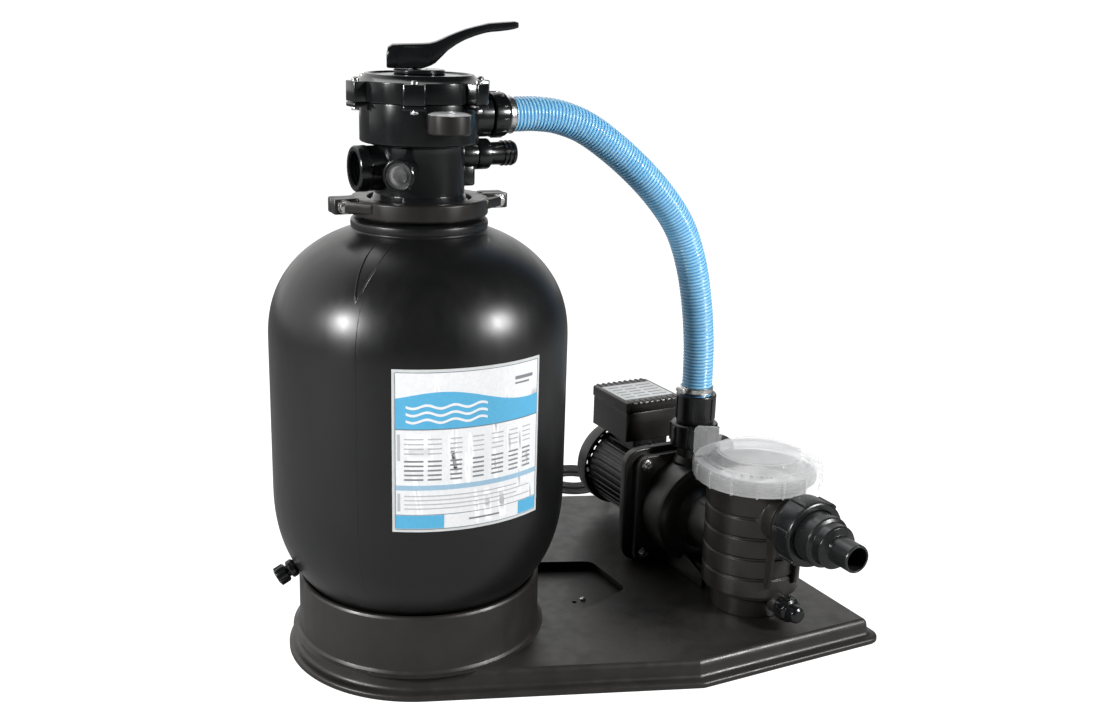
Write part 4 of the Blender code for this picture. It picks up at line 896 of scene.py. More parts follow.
def label_patch(bm, across, up, lift, thickness=0.00012, top=None, bottom=None, steps=None):
    """One printed patch wrapped on the tank. across and up are its ranges in the label's own metres; top
    and bottom may be functions of the place across."""
    steps = steps or max(1, int((across[1] - across[0]) / 0.004) + 1)
    rings = []
    for i in range(steps + 1):
        u = across[0] + (across[1] - across[0]) * i / steps
        low = bottom(u) if bottom else up[0]
        high = top(u) if top else up[1]
        ring = []
        for v, out in ((low, lift), (high, lift), (high, lift + thickness), (low, lift + thickness)):
            z = LABEL_BOTTOM + v
            r = skin_radius(z) + out
            a = LABEL_LEFT + u / TANK_RADIUS
            ring.append(bm.verts.new(TANK @ Vector((r * math.cos(a), r * math.sin(a), z))))
        rings.append(ring)
    for one, two in zip(rings, rings[1:]):
        for k in range(4):
            bm.faces.new((one[k], one[(k + 1) % 4], two[(k + 1) % 4], two[k]))
    bm.faces.new(rings[0])
    bm.faces.new(rings[-1][::-1])


def label_layer(name, finish, patches, lift):
    bm = bmesh.new()
    for across, up, *more in patches:
        label_patch(bm, across, up, lift, **(more[0] if more else {}))
    ready(finished(name, bm, finish), "base", "tank_plastic")


def wave_top(u):
    """The blue band's upper edge, a slow wave."""
    return 0.1650 + 0.0065 * math.sin(math.tau * (u / LABEL_WIDTH - 0.08)) - 0.010 * (u / LABEL_WIDTH) ** 2


def label():
    """A plain data label: a blue band with a wave, ruled lines and rows of small grey bars for print."""
    width, height = LABEL_WIDTH, LABEL_HEIGHT
    edge = 0.0040
    sheet = []
    for i in range(8):
        sheet.append(((0, width), (height * i / 8, height * (i + 1) / 8)))
    label_layer("label_border", LABEL_SILVER, sheet, SHEET_LIFT)
    face = []
    for i in range(8):
        low, high = edge, height - edge
        face.append(((edge, width - edge), (low + (high - low) * i / 8, low + (high - low) * (i + 1) / 8)))
    label_layer("label_face", LABEL_WHITE, face, FACE_LIFT)
    inner = (edge, width - edge)
    blue = [(inner, (0.1265, 0.16), {"top": wave_top})]
    blue += [((edge, 0.060), (0.0046, 0.0208)), ((0.158, width - edge), (0.0046, 0.0208))]
    label_layer("label_blue", LABEL_BLUE, blue, PRINT_LIFT)
    label_layer("label_strip", LABEL_PALE_BLUE, [(inner, (0.0520, 0.0580))], PRINT_LIFT)
    rule = 0.0007
    rules = [(inner, (0.1253, 0.1265)), (inner, (0.0212, 0.0219)), (inner, (edge - rule, edge)),
             (inner, (height - edge, height - edge + rule)), ((edge - rule, edge), (edge, height - edge)),
             ((width - edge, width - edge + rule), (edge, height - edge))]
    label_layer("label_rules", LABEL_LINE, rules, PRINT_LIFT)
    columns = ((0.014, 0.036), (0.041, 0.057), (0.067, 0.081), (0.094, 0.108), (0.118, 0.134),
               (0.142, 0.156), (0.163, 0.176))
    bars = []
    for row in range(5):
        v = 0.0640 + row * 0.0056
        bars += [(column, (v, v + 0.0021)) for column in columns]
    bars += [((0.150, 0.178), (0.1745, 0.1785)), ((0.150, 0.172), (0.1690, 0.1712))]
    bars += [((0.090, 0.130), (0.0118, 0.0140))]
    label_layer("label_print", LABEL_GREY, bars, PRINT_LIFT)
    faint = []
    for row in range(4):
        v = 0.0960 + row * 0.0058
        faint += [(column, (v, v + 0.0016)) for column in columns]
    for row in range(4):
        v = 0.0285 + row * 0.0052
        faint.append(((0.014, 0.176 - 0.021 * (row % 2)), (v, v + 0.0014)))
    faint += [((0.0062, 0.0092), (0.088, 0.120)), ((0.0062, 0.0092), (0.026, 0.048))]
    label_layer("label_fine_print", printed("label faint", (0.50, 0.51, 0.53)), faint, PRINT_LIFT)
    waves = []
    for row in range(3):
        middle = 0.1345 + row * 0.0085

        def low_edge(u, middle=middle):
            return middle + 0.0020 * math.sin(math.tau * u / 0.032)

        def high_edge(u, middle=middle):
            return middle + 0.0030 + 0.0020 * math.sin(math.tau * u / 0.032)
        waves.append(((0.016, 0.112), (0, 0), {"bottom": low_edge, "top": high_edge, "steps": 60}))
    label_layer("label_waves", LABEL_WHITE, waves, WAVE_LIFT)


# ---------------------------------------------------------------- clamp

def clamp():
    """The two halves of the flange clamp, each with a webbed ear at either end, and their bolts."""
    where = spun(TANK, math.radians(17))
    for side, name, node in ((1, "clamp_rear", "clamp_half_rear"), (-1, "clamp_front", "clamp_half_front")):
        swing = (0.5, 179.5) if side > 0 else (180.5, 359.5)
        channel = [(0.0826, 0.5972), (0.0840, 0.5952), (0.0843, 0.5785), (0.0828, 0.5763), (0.0748, 0.5762),
                   (0.0748, 0.5783), (0.0786, 0.5783), (0.0786, 0.5913), (0.0640, 0.5920), (0.0640, 0.5968)]
        parts = [turned("channel", channel, where, CLAMP_PLASTIC, 0.0014, 96, loop=True, swing=swing)]
        for end in (-1, 1):
            low_x, high_x = sorted((end * 0.0800, end * 0.1118))
            low_y, high_y = sorted((side * 0.0008, side * 0.0150))
            parts.append(brick("ear", (low_x, low_y, 0.5802), (high_x, high_y, 0.5988), where,
                               CLAMP_PLASTIC, 0.0018, 0.004))
            web = [(end * 0.0800, side * 0.0010), (end * 0.1080, side * 0.0010),
                   (end * 0.1080, side * 0.0140), (end * 0.0740, side * 0.0420),
                   (end * 0.0660, side * 0.0420)]
            parts.append(slab("web", rounded(web[::end * side], 0.003), 0.5835, 0.5955, where,
                              CLAMP_PLASTIC, 0.0018, 2))
        ready(fused(name, parts), "base", "clamp_plastic", node)
    for name, end in (("clamp_bolt_left", -1), ("clamp_bolt_right", 1)):
        axis = where @ along((end * 0.0985, 0, 0.5895), (0, -1, 0))
        head = hexagon(f"{name}_head", 0.0074, 0.0153, 0.0205, axis, STEEL)
        nut = hexagon("nut", 0.0074, -0.0212, -0.0153, axis, STEEL)
        washer = rod("washer", 0.0086, 0.0162, 0.0151, axis, STEEL, 0.0003, 32)
        stem = rod("stem", 0.0040, 0.018, -0.0245, axis, STEEL, 0.0006, 24)
        ready(fused(f"{name}_set", [head, nut, washer, stem]), "base", "steel", name)


def hexagon(name, radius, low, high, where, finish, edge=0.0007):
    corners = [(radius * math.cos(math.tau * i / 6), radius * math.sin(math.tau * i / 6)) for i in range(6)]
    return slab(name, rounded(corners, 0.0005, 2), low, high, where, finish, edge, 2)


# ---------------------------------------------------------------- valve

LUGS = around(TANK, 6, math.radians(-96))


def lug(where, low, high, reach=0.0900, half=0.0130):
    return brick("lug", (0.060, -half, low), (reach, half, high), where, VALVE_PLASTIC, 0.0012, 0.0025)


def valve_body():
    profile = [(0, 0.7118), (0.0722, 0.7118), (0.0722, 0.665), (0.0705, 0.6635), (0.0560, 0.6600),
               (0.0552, 0.652), (0.0550, 0.6020), (0.0580, 0.5955), (0.0625, 0.5915), (0.0775, 0.5912),
               (0.0775, 0.5834), (0, 0.5834)]
    parts = [turned("valve_shell", profile, TANK, VALVE_PLASTIC, 0.0012, 144)]
    parts += [lug(where, 0.7062, 0.7118) for where in LUGS]
    pump_port = radial(PORT_HEADING, PUMP_PORT_HEIGHT)
    return_port = radial(PORT_HEADING, RETURN_PORT_HEIGHT)
    waste_port = radial(PORT_HEADING + math.pi, WASTE_PORT_HEIGHT)
    sight = radial(SIGHT_HEADING, SIGHT_HEIGHT)
    parts += [
        turned("collar", [(0, 0.0885), (0.0262, 0.0885), (0.0270, 0.0875), (0.0270, 0.0620), (0, 0.0620)],
               pump_port, VALVE_PLASTIC, 0.0006, 64),
        rod("neck", 0.0215, 0.0958, 0.0600, pump_port, VALVE_PLASTIC, 0.0006, 64),
        turned("neck", [(0, 0.0722), (0.0180, 0.0722), (0.0185, 0.060), (0.0170, 0.045), (0, 0.045)],
               return_port, VALVE_PLASTIC, 0.0008, 64),
        turned("neck", [(0, 0.0838), (0.0262, 0.0838), (0.0275, 0.0825), (0.0278, 0.0700), (0.0270, 0.0690),
                        (0.0268, 0.040), (0, 0.040)], waste_port, VALVE_PLASTIC, 0.0008, 64),
        turned("neck", [(0, 0.074), (0.0170, 0.074), (0.0180, 0.060), (0.0150, 0.045), (0, 0.045)], sight,
               VALVE_PLASTIC, 0.0008, 64),
        brick("saddle", (0.050, -0.012, 0.6080), (0.070, 0.012, 0.634), PORTS, VALVE_PLASTIC, 0.003, 0.004),
        brick("drop", (0.050, -0.010, 0.655), (0.070, 0.010, 0.690), PORTS, VALVE_PLASTIC, 0.003, 0.004),
    ]
    cuts = [
        brick("under_cover", (0.0400, -0.05, 0.7119), (0.0912, 0.05, 0.80), PORTS, VALVE_PLASTIC, 0.0002,
              0.0004),
        rod("bore", 0.0165, 0.110, 0.060, pump_port, VALVE_PLASTIC, 0.0004, 48),
        turned("bore", [(0, 0.090), (0.0222, 0.090), (0.0212, 0.0825), (0.0212, 0.058), (0.0150, 0.0575),
                        (0.0150, 0.046), (0, 0.046)], waste_port, VALVE_PLASTIC, 0.0006, 64),
        rod("well", 0.0115, 0.080, 0.062, sight, VALVE_PLASTIC, 0.0004, 48),
    ]
    body = fused("valve_shell", parts, cuts)
    ready(body, "base", "valve_plastic", "valve_body")
    for index in range(5):
        low = 0.0600 + index * 0.0048
        thread = [(0.0204, low), (0.0214, low + 0.0012), (0.0214, low + 0.0024), (0.0204, low + 0.0036)]
        ready(turned(f"waste_thread_{index + 1}", thread, waste_port, VALVE_PLASTIC, 0.0003, 64, loop=True),
              "base", "valve_plastic")


def valve_cover():
    profile = [(0, 0.7440), (0.0300, 0.7440), (0.0330, 0.7432), (0.0600, 0.7418), (0.0618, 0.7440),
               (0.0655, 0.7440), (0.0675, 0.7415), (0.0715, 0.7380), (0.0758, 0.7362), (0.0758, 0.7123),
               (0, 0.7123)]
    parts = [turned("cover_shell", profile, TANK, VALVE_PLASTIC, 0.0009, 144)]
    parts += [lug(where, 0.7123, 0.7362) for where in LUGS]
    ready(fused("cover_shell", parts), "base", "valve_plastic", "valve_cover")
    for index, where in enumerate(LUGS):
        spot = where @ Matrix.Translation((0.0830, 0, 0))
        head = turned(f"cover_screw_{index + 1}", [(0, 0.7402), (0.0030, 0.7400), (0.0046, 0.7385),
                                                   (0.0046, 0.7350), (0, 0.7350)], spot, STEEL, 0.0004, 32)
        cross = [brick("slot", (-0.0030, -0.0005, 0.7388), (0.0030, 0.0005, 0.742), spun(spot, turn), STEEL,
                       0.0001, 0.0001) for turn in (0.4, 0.4 + math.pi / 2)]
        ready(fused(f"cover_screw_{index + 1}", [head], cross), "base", "steel")
        nut = hexagon("nut", 0.0052, 0.7022, 0.7066, spot, STEEL, 0.0004)
        ready(fused(f"cover_nut_{index + 1}", [nut]), "base", "steel")


def handle():
    """The selector's lever: a wide hub that narrows to an arm, with a flat pad for the hand."""
    stations = (
        # along, top, bottom, half width
        (-0.0390, 0.7665, 0.7510, 0.0130), (-0.0375, 0.7740, 0.7497, 0.0137),
        (-0.0320, 0.7778, 0.7494, 0.0140), (-0.0200, 0.7785, 0.7494, 0.0140),
        (-0.0060, 0.7790, 0.7494, 0.0140), (0.0040, 0.7795, 0.7497, 0.0140),
        (0.0120, 0.7802, 0.7525, 0.0136), (0.0190, 0.7820, 0.7565, 0.0130),
        (0.0260, 0.7850, 0.7635, 0.0120), (0.0340, 0.7888, 0.7715, 0.0110),
        (0.0440, 0.7930, 0.7785, 0.0100), (0.0540, 0.7968, 0.7840, 0.0093),
        (0.0660, 0.8003, 0.7888, 0.0094), (0.0760, 0.8028, 0.7920, 0.0104),
        (0.0810, 0.8042, 0.7932, 0.0118), (0.0860, 0.8048, 0.7940, 0.0128),
        (0.0960, 0.8058, 0.7950, 0.0134), (0.1060, 0.8066, 0.7965, 0.0136),
        (0.1130, 0.8071, 0.7980, 0.0132), (0.1170, 0.8060, 0.7995, 0.0118),
        (0.1178, 0.8040, 0.8010, 0.0090),
    )
    rings = []
    for x, top, bottom, half in stations:
        middle, rise = (top + bottom) / 2, (top - bottom) / 2
        ring = []
        for step in range(28):
            a = math.tau * step / 28
            c, s = math.cos(a), math.sin(a)
            ring.append((x, half * math.copysign(abs(c) ** 0.42, c),
                         middle + rise * math.copysign(abs(s) ** 0.42, s)))
        rings.append(ring)
    lever = loft("selector_handle", rings, TANK, VALVE_PLASTIC, sharp=math.radians(50))
    well = brick("well", (-0.0135, -0.0098, 0.74), (0.0135, 0.0098, 0.7735), TANK, VALVE_PLASTIC, 0.0005)
    parts = [lever]
    for side in (-1, 1):
        cheek = [(-0.0260, 0.7499), (0.0100, 0.7530), (0.0150, 0.7700), (0.0060, 0.7750), (-0.0180, 0.7750),
                 (-0.0260, 0.7690)]
        where = TANK @ Matrix.Rotation(math.radians(90), 4, "X")
        low, high = sorted((side * 0.0135, side * 0.0148))
        parts.append(slab("cheek", rounded(cheek, 0.003), low, high, where, VALVE_PLASTIC, 0.0006, 2))
    ready(fused("selector_handle", parts, [well]), "handle", "valve_plastic", "valve_handle")
    washer = [(0.0100, 0.7491), (0.0295, 0.7491), (0.0312, 0.7478), (0.0312, 0.7444), (0.0100, 0.7444)]
    ready(turned("selector_washer", washer, TANK, VALVE_PLASTIC, 0.0006, 96, loop=True), "selector",
          "valve_plastic", "thrust_washer")


def sight_glass():
    where = radial(SIGHT_HEADING, SIGHT_HEIGHT)
    ring = [(0.0188, 0.0660), (0.0190, 0.0795), (0.0180, 0.0808), (0.0162, 0.0808), (0.0158, 0.0795),
            (0.0158, 0.0660)]
    parts = [turned("sight_ring", ring, where, VALVE_PLASTIC, 0.0005, 72, loop=True)]
    parts += blocks("grip", where, 10, (0.0180, 0.0197), 0.0010, (0.068, 0.079), VALVE_PLASTIC, 0.0004,
                    0.0003)
    ready(fused("sight_ring", parts), "base", "valve_plastic", "sight_glass_ring")
    dome = [(0, 0.0838), (0.0040, 0.0834), (0.0075, 0.0820), (0.0100, 0.0800), (0.0118, 0.0785),
            (0.0155, 0.0785), (0.0155, 0.0744), (0.0112, 0.0744), (0.0098, 0.0770), (0.0065, 0.0795),
            (0, 0.0808)]
    ready(turned("sight_dome", dome, where, SIGHT_PLASTIC, 0.0004, 64), "base", "clear_plastic",
          "sight_glass")
    cup = [(0, 0.0665), (0.0090, 0.0665), (0.0108, 0.0690), (0.0110, 0.0738), (0.0088, 0.0738),
           (0.0086, 0.0700), (0, 0.0690)]
    ready(turned("sight_cup", cup, where, VALVE_PLASTIC, 0.0004, 48), "base", "steel")


def gauge():
    where = spun(TANK, GAUGE_HEADING) @ Matrix.Translation((0.0985, 0, 0))
    cup = [(0, 0.695), (0.0215, 0.695), (0.0215, 0.7030), (0.0246, 0.7030), (0.0250, 0.7020),
           (0.0250, 0.6830), (0.0235, 0.6812), (0, 0.6812)]
    tap = turned("tap", [(0, 0.064), (0.0070, 0.064), (0.0074, 0.078), (0, 0.078)],
                 radial(GAUGE_HEADING, 0.692), CLAMP_PLASTIC, 0.0004, 32)
    arbor = turned("arbor", [(0, 0.6995), (0.0015, 0.6990), (0.0015, 0.691), (0, 0.691)], where,
                   CLAMP_PLASTIC, 0.0002, 16)
    ready(fused("gauge_case", [turned("cup", cup, where, CLAMP_PLASTIC, 0.0007, 72), tap, arbor]), "base",
          "clamp_plastic", "gauge_body")
    dial = rod("gauge_dial", 0.0212, 0.6958, 0.6948, where, LABEL_WHITE, 0.0002, 48)
    ready(dial, "base", "inner_plastic")
    marks = []
    for step in range(11):
        spot = spun(where, math.radians(-125 + 25 * step + 90))
        marks.append(brick("mark", (0.0165, -0.0004, 0.6956), (0.0202, 0.0004, 0.6961), spot, LABEL_LINE,
                           0.0001, 0.0001))
    ready(fused("gauge_marks", marks), "base", "inner_plastic")
    lens = [(0, 0.7068), (0.0120, 0.7064), (0.0200, 0.7055), (0.0240, 0.7040), (0.0245, 0.7033),
            (0, 0.7033)]
    ready(turned("gauge_window", lens, where, CLEAR_PLASTIC, 0.0003, 64), "base", "clear_plastic",
          "gauge_lens")


def valve_tails():
    port = radial(PORT_HEADING, PUMP_PORT_HEIGHT)
    nut = [(0.0228, 0.1120), (0.0255, 0.1120), (0.0270, 0.1105), (0.0275, 0.1080), (0.0276, 0.0930),
           (0.0268, 0.0914), (0.0228, 0.0914)]
    parts = [turned("port_nut", nut, port, VALVE_PLASTIC, 0.0008, 96, loop=True)]
    parts += blocks("grip", port, 10, (0.0262, 0.0286), 0.0018, (0.0930, 0.1085), VALVE_PLASTIC, 0.0008,
                    0.0007, 0.2)
    ready(fused("port_nut", parts), "port_nut", "valve_plastic", "pump_port_nut")
    tail = [(0.0160, 0.0964), (0.0215, 0.0964), (0.0215, 0.0993), (0.0182, 0.1000), (0.0182, 0.1070),
            (0.0176, 0.1070), (0.0182, 0.1145), (0.0174, 0.1145), (0.0180, 0.1220), (0.0168, 0.1275),
            (0.0150, 0.1275), (0.0150, 0.0970)]
    ready(turned("pump_port_barb", tail, port, VALVE_PLASTIC, 0.0004, 64, loop=True), "base",
          "valve_plastic", "pump_port_tail")
    port = radial(PORT_HEADING, RETURN_PORT_HEIGHT)
    barb = [(0.0110, 0.1268), (0.0142, 0.1270), (0.0162, 0.1222), (0.0146, 0.1218), (0.0146, 0.1202),
            (0.0162, 0.1162), (0.0146, 0.1156), (0.0146, 0.1140), (0.0162, 0.1102), (0.0144, 0.1094),
            (0.0142, 0.0905), (0.0188, 0.0900), (0.0192, 0.0880), (0.0192, 0.0745), (0.0186, 0.0726),
            (0.0110, 0.0726)]
    parts = [turned("return_barb", barb, port, VALVE_PLASTIC, 0.0006, 80, loop=True)]
    ready(fused("return_barb", parts), "base", "valve_plastic", "return_tail")


# ---------------------------------------------------------------- hose clamps and pump fittings

def hose_clips():
    upper = radial(PORT_HEADING, PUMP_PORT_HEIGHT)
    lower = pump_upright(DISCHARGE_X)
    for name, where, start in (("hose_clamp_upper", upper, 0.1130), ("hose_clamp_lower", lower, 0.294)):
        band = [(0.0225, start), (0.0236, start), (0.0242, start + 0.0008), (0.0236, start + 0.0016),
                (0.0236, start + 0.0074), (0.0242, start + 0.0082), (0.0236, start + 0.009),
                (0.0225, start + 0.009)]
        parts = [turned(name, band, where, STEEL, 0.0002, 96, loop=True)]
        parts.append(brick("house", (-0.0062, 0.0232, start + 0.0005), (0.0062, 0.0300, start + 0.0085),
                           where, STEEL, 0.0008, 0.0012))
        axis = where @ along((0, 0.0272, start + 0.0045), (1, 0, 0))
        parts.append(turned("worm", [(0, 0.0100), (0.0030, 0.0100), (0.0034, 0.0088), (0.0034, 0.0055),
                                     (0.0026, 0.005), (0.0026, -0.0085), (0, -0.0085)], axis, STEEL, 0.0004,
                            24))
        ready(fused(f"{name}_band", parts), "base", "steel", name)


def discharge():
    where = pump_upright(DISCHARGE_X)
    nut = [(0.0215, 0.2480), (0.0318, 0.2480), (0.0338, 0.2462), (0.0342, 0.2160), (0.0332, 0.2142),
           (0.0246, 0.2142), (0.0246, 0.2420), (0.0215, 0.2420)]
    parts = [turned("discharge_nut", nut, where, FITTING_PLASTIC, 0.0009, 96, loop=True)]
    parts += blocks("grip", where, 8, (0.0320, 0.0366), 0.0024, (0.2165, 0.2440), FITTING_PLASTIC, 0.0012,
                    0.0012)
    ready(fused("discharge_nut", parts), "discharge_nut", "pump_plastic", "discharge_union_nut")
    tail = [(0.0226, 0.2915), (0.0282, 0.2920), (0.0290, 0.2905), (0.0290, 0.2560), (0.0268, 0.2492),
            (0.0206, 0.2490), (0.0206, 0.2416), (0.0230, 0.2414), (0.0230, 0.2344), (0.0170, 0.2344),
            (0.0170, 0.2625), (0.0226, 0.2627)]
    parts = [turned("discharge_socket", tail, where, FITTING_PLASTIC, 0.0007, 96, loop=True)]
    parts += blocks("rib", where, 6, (0.0280, 0.0304), 0.0012, (0.2560, 0.2880), FITTING_PLASTIC, 0.0007,
                    0.0006, 0.3)
    ready(fused("discharge_socket", parts), "base", "pump_plastic", "discharge_tail")


def suction():
    where = pump_along(0, SUCTION_HEIGHT, forwards=True)
    nut = [(0.0348, 0.1278), (0.0418, 0.1280), (0.0438, 0.1268), (0.0448, 0.1240), (0.0450, 0.0965),
           (0.0440, 0.0942), (0.0350, 0.0942), (0.0350, 0.1195), (0.0310, 0.1195), (0.0310, 0.1235),
           (0.0348, 0.1237)]
    parts = [turned("suction_nut", nut, where, FITTING_PLASTIC, 0.0010, 96, loop=True)]
    parts += blocks("grip", where, 6, (0.0425, 0.0474), 0.0045, (0.0960, 0.1262), FITTING_PLASTIC, 0.0016,
                    0.0020, 0.35)
    ready(fused("suction_nut", parts), "suction_nut", "pump_plastic", "suction_union_nut")
    tail = [(0.0152, 0.2079), (0.0178, 0.2079), (0.0185, 0.2060), (0.0185, 0.1735), (0.0275, 0.1715),
            (0.0290, 0.1690), (0.0292, 0.1560), (0.0330, 0.1535), (0.0342, 0.1515), (0.0342, 0.1265),
            (0.0332, 0.1250), (0.0300, 0.1248), (0.0300, 0.1189), (0.0334, 0.1187), (0.0334, 0.1124),
            (0.0152, 0.1124)]
    ready(turned("suction_barb", tail, where, FITTING_PLASTIC, 0.0008, 96, loop=True), "base",
          "pump_plastic", "suction_tail")


# ---------------------------------------------------------------- pump

def pot_profile():
    points = [(0.0610, 0.0700), (0.0610, 0.2280), (0.0785, 0.2280), (0.0790, 0.2215), (0.0690, 0.2155)]
    for band in reversed(range(5)):
        low = 0.064 + band * 0.029
        points += [(0.0672, low + 0.0270), (0.0674, low + 0.0030), (0.0652, low + 0.0005),
                   (0.0650, low - 0.0014)]
    return points + [(0.0600, 0.0600), (0.0520, 0.0560), (0.0520, PUMP_FOOT), (0, PUMP_FOOT), (0, 0.0700)]


def pot():
    """The strainer pot, its throat, the volute drum and their webs, in one moulding."""
    axis = pump_along(0, SHAFT_HEIGHT)
    suction_axis = pump_along(0, SUCTION_HEIGHT, forwards=True)
    drain = pump_along(0, DRAIN_PLUG_HEIGHT, forwards=True)
    outlet = pump_upright(DISCHARGE_X)
    profile = pot_profile()
    parts = [turned("pump_casing", profile[-1:] + profile[:-1], PUMP, PUMP_PLASTIC, 0.0012, 144)]
    drum = [(0, 0.112), (0.060, 0.112), (0.0700, 0.1145), (0.0750, 0.1200), (0.0762, 0.1280),
            (0.0762, 0.1800), (0, 0.1800)]
    throat = [(0, 0.050), (0.0440, 0.050), (0.0440, 0.100), (0.0500, 0.1135), (0, 0.1135)]
    parts += [turned("throat", throat, axis, PUMP_PLASTIC, 0.001, 96),
              turned("drum", drum, axis, PUMP_PLASTIC, 0.001, 144),
              plate("flange", 0.084, 0.198, PUMP_FOOT, 0.168, 0.182, 0.022, PUMP_PLASTIC, 0.0015)]
    boss = [(0, 0.0795), (0.0352, 0.0795), (0.0352, 0.060), (0.0400, 0.052), (0, 0.050)]
    parts += [turned("boss", boss, suction_axis, PUMP_PLASTIC, 0.0010, 80),
              rod("thread", 0.0335, 0.112, 0.078, suction_axis, PUMP_PLASTIC, 0.0008, 80),
              turned("outlet", [(0, 0.234), (0.0235, 0.234), (0.0235, 0.198), (0.0300, 0.190),
                                (0.0330, 0.150), (0, 0.120)], outlet, PUMP_PLASTIC, 0.0010, 80),
              turned("drain_boss", [(0, 0.0737), (0.0135, 0.0737), (0.0150, 0.060), (0, 0.045)], drain,
                     PUMP_PLASTIC, 0.0010, 40)]
    gusset = [(0.060, 0.078), (0.0705, 0.085), (0.0780, 0.150), (0.0780, 0.170), (0.060, 0.180)]
    upright = PUMP @ Matrix.Rotation(math.pi, 4, "Z") @ Matrix.Rotation(math.radians(90), 4, "X")
    for side in (-0.022, 0.022):
        parts.append(slab("gusset", rounded(gusset, 0.003), side - 0.0022, side + 0.0022, upright,
                          PUMP_PLASTIC, 0.0008, 2))
    for side in (-1, 1):
        web = [(0.060, PUMP_FOOT), (0.170, PUMP_FOOT), (0.170, 0.060), (0.118, 0.066), (0.060, 0.050)]
        upright_side = PUMP @ Matrix.Rotation(math.radians(90), 4, "X")
        parts.append(slab("web", rounded(web, 0.003), side * 0.034 - 0.003, side * 0.034 + 0.003,
                          upright_side, PUMP_PLASTIC, 0.0010, 2))
    cuts = [rod("bore", 0.0210, 0.14, 0.045, suction_axis, PUMP_PLASTIC, 0.0005, 64),
            rod("bore", 0.0170, 0.26, 0.150, outlet, PUMP_PLASTIC, 0.0005, 48),
            turned("hollow", [(0, 0.229), (0.0610, 0.229), (0.0608, 0.0702), (0, 0.0700)], PUMP,
                   PUMP_PLASTIC, 0.0005, 144)]
    for where in bolt_frames():
        cuts.append(rod("hole", 0.0045, 0.20, 0.16, where, PUMP_PLASTIC, 0.0003, 24))
    ready(fused("pump_casing", parts, cuts), "base", "pump_plastic", "pump_body")


def square_outline(half, top, bottom, radius):
    return rounded([(bottom, -half), (top, -half), (top, half), (bottom, half)], radius, 6)


def plate(name, half, top, bottom, front, back, corner, finish, edge):
    where = pump_along(0, 0) @ Matrix.Rotation(math.pi, 4, "Z")
    return slab(name, square_outline(half, top, bottom, corner), front, back, where, finish, edge)


def bolt_frames():
    """Frames along the four motor bolts, +Z towards the motor."""
    made = []
    for side, up in ((1, 1), (1, -1), (-1, 1), (-1, -1)):
        spot = PUMP @ Matrix.Translation((0, side * BOLT_SPREAD, SHAFT_HEIGHT + up * BOLT_SPREAD))
        made.append(spot @ Matrix.Rotation(math.radians(90), 4, "Y"))
    return made


def bolts():
    for index, where in enumerate(bolt_frames(), 1):
        head = turned("head", [(0, 0.1615), (0.0048, 0.1615), (0.0074, 0.1640), (0.0076, 0.1676),
                               (0, 0.1676)], where, STEEL, 0.0006, 36)
        washer = rod("washer", 0.0092, 0.1665, 0.1677, where, STEEL, 0.0003, 36)
        stem = rod("stem", 0.0040, 0.167, 0.1995, where, STEEL, 0.0004, 20)
        socket = hexagon("socket", 0.0034, 0.155, 0.1638, where, STEEL, 0.0002)
        ready(fused(f"flange_bolt_{index}", [head, washer, stem], [socket]), "base", "steel",
              f"bracket_bolt_{index}")


def lid():
    """The clear strainer lid: stepped rings, a ribbed collar and two upright wings."""
    profile = [(0, 0.2550), (0.0545, 0.2550), (0.0560, 0.2540), (0.0590, 0.2540), (0.0600, 0.2500),
               (0.0640, 0.2455), (0.0660, 0.2435), (0.0715, 0.2430), (0.0730, 0.2412), (0.0845, 0.2405),
               (0.0866, 0.2388), (0.0870, 0.2180), (0.0850, 0.2176), (0.0806, 0.2180), (0.0805, 0.2320),
               (0.0740, 0.2345), (0.0640, 0.2345), (0.0600, 0.2380), (0.0565, 0.2515), (0, 0.2515)]
    parts = [turned("lid_shell", profile, PUMP, CLEAR_PLASTIC, 0.0009, 144)]
    for turn in (math.radians(57), math.radians(237)):
        outline = [(0.0520, 0.2520), (0.0600, 0.2420), (0.0660, 0.2380), (0.0840, 0.2380), (0.0885, 0.2480),
                   (0.0885, 0.2790), (0.0835, 0.2840), (0.0580, 0.2840), (0.0520, 0.2780)]
        side = spun(PUMP, turn) @ Matrix.Rotation(math.radians(90), 4, "X")
        parts.append(slab("wing", rounded(outline, 0.004), -0.0028, 0.0028, side, CLEAR_PLASTIC, 0.0012, 3))
    parts += blocks("rib", PUMP, 16, (0.0855, 0.0884), 0.0013, (0.2168, 0.2400), CLEAR_PLASTIC, 0.0008,
                    0.0006, math.radians(8))
    ready(fused("lid_shell", parts), "lid", "clear_plastic", "strainer_lid")


def basket():
    """A white basket with rows of narrow slots, hung by its rim."""
    profile = [(0, 0.1022), (0.0474, 0.1022), (0.0537, 0.2092), (0.0594, 0.2096), (0.0596, 0.2078),
               (0.0556, 0.2070), (0.0492, 0.1002), (0, 0.1000)]
    shell = turned("basket_shell", profile, PUMP, INNER_PLASTIC, 0.0005, 96)
    cuts = []
    cuts += blocks("slot", PUMP, 24, (0.040, 0.070), 0.0024, (0.112, 0.198), INNER_PLASTIC, 0.0003, 0.0006)
    piece = fused("basket_shell", [shell], cuts)
    bars = [brick("bar", (-0.0026, -0.0545, 0.2030), (0.0026, 0.0545, 0.2080), PUMP, INNER_PLASTIC, 0.0006,
                  0.0006)]
    for row in range(5):
        height = 0.122 + row * 0.0165
        radius = 0.0492 + (0.0556 - 0.0492) * (height - 0.1) / 0.107
        hoop = [(radius - 0.0016, height), (radius + 0.0002, height), (radius + 0.0002, height + 0.0024),
                (radius - 0.0016, height + 0.0024)]
        bars.append(turned("hoop", hoop, PUMP, INNER_PLASTIC, 0.0003, 96, loop=True))
    ready(fused("basket_shell", [piece, *bars]), "basket", "inner_plastic", "strainer_basket")


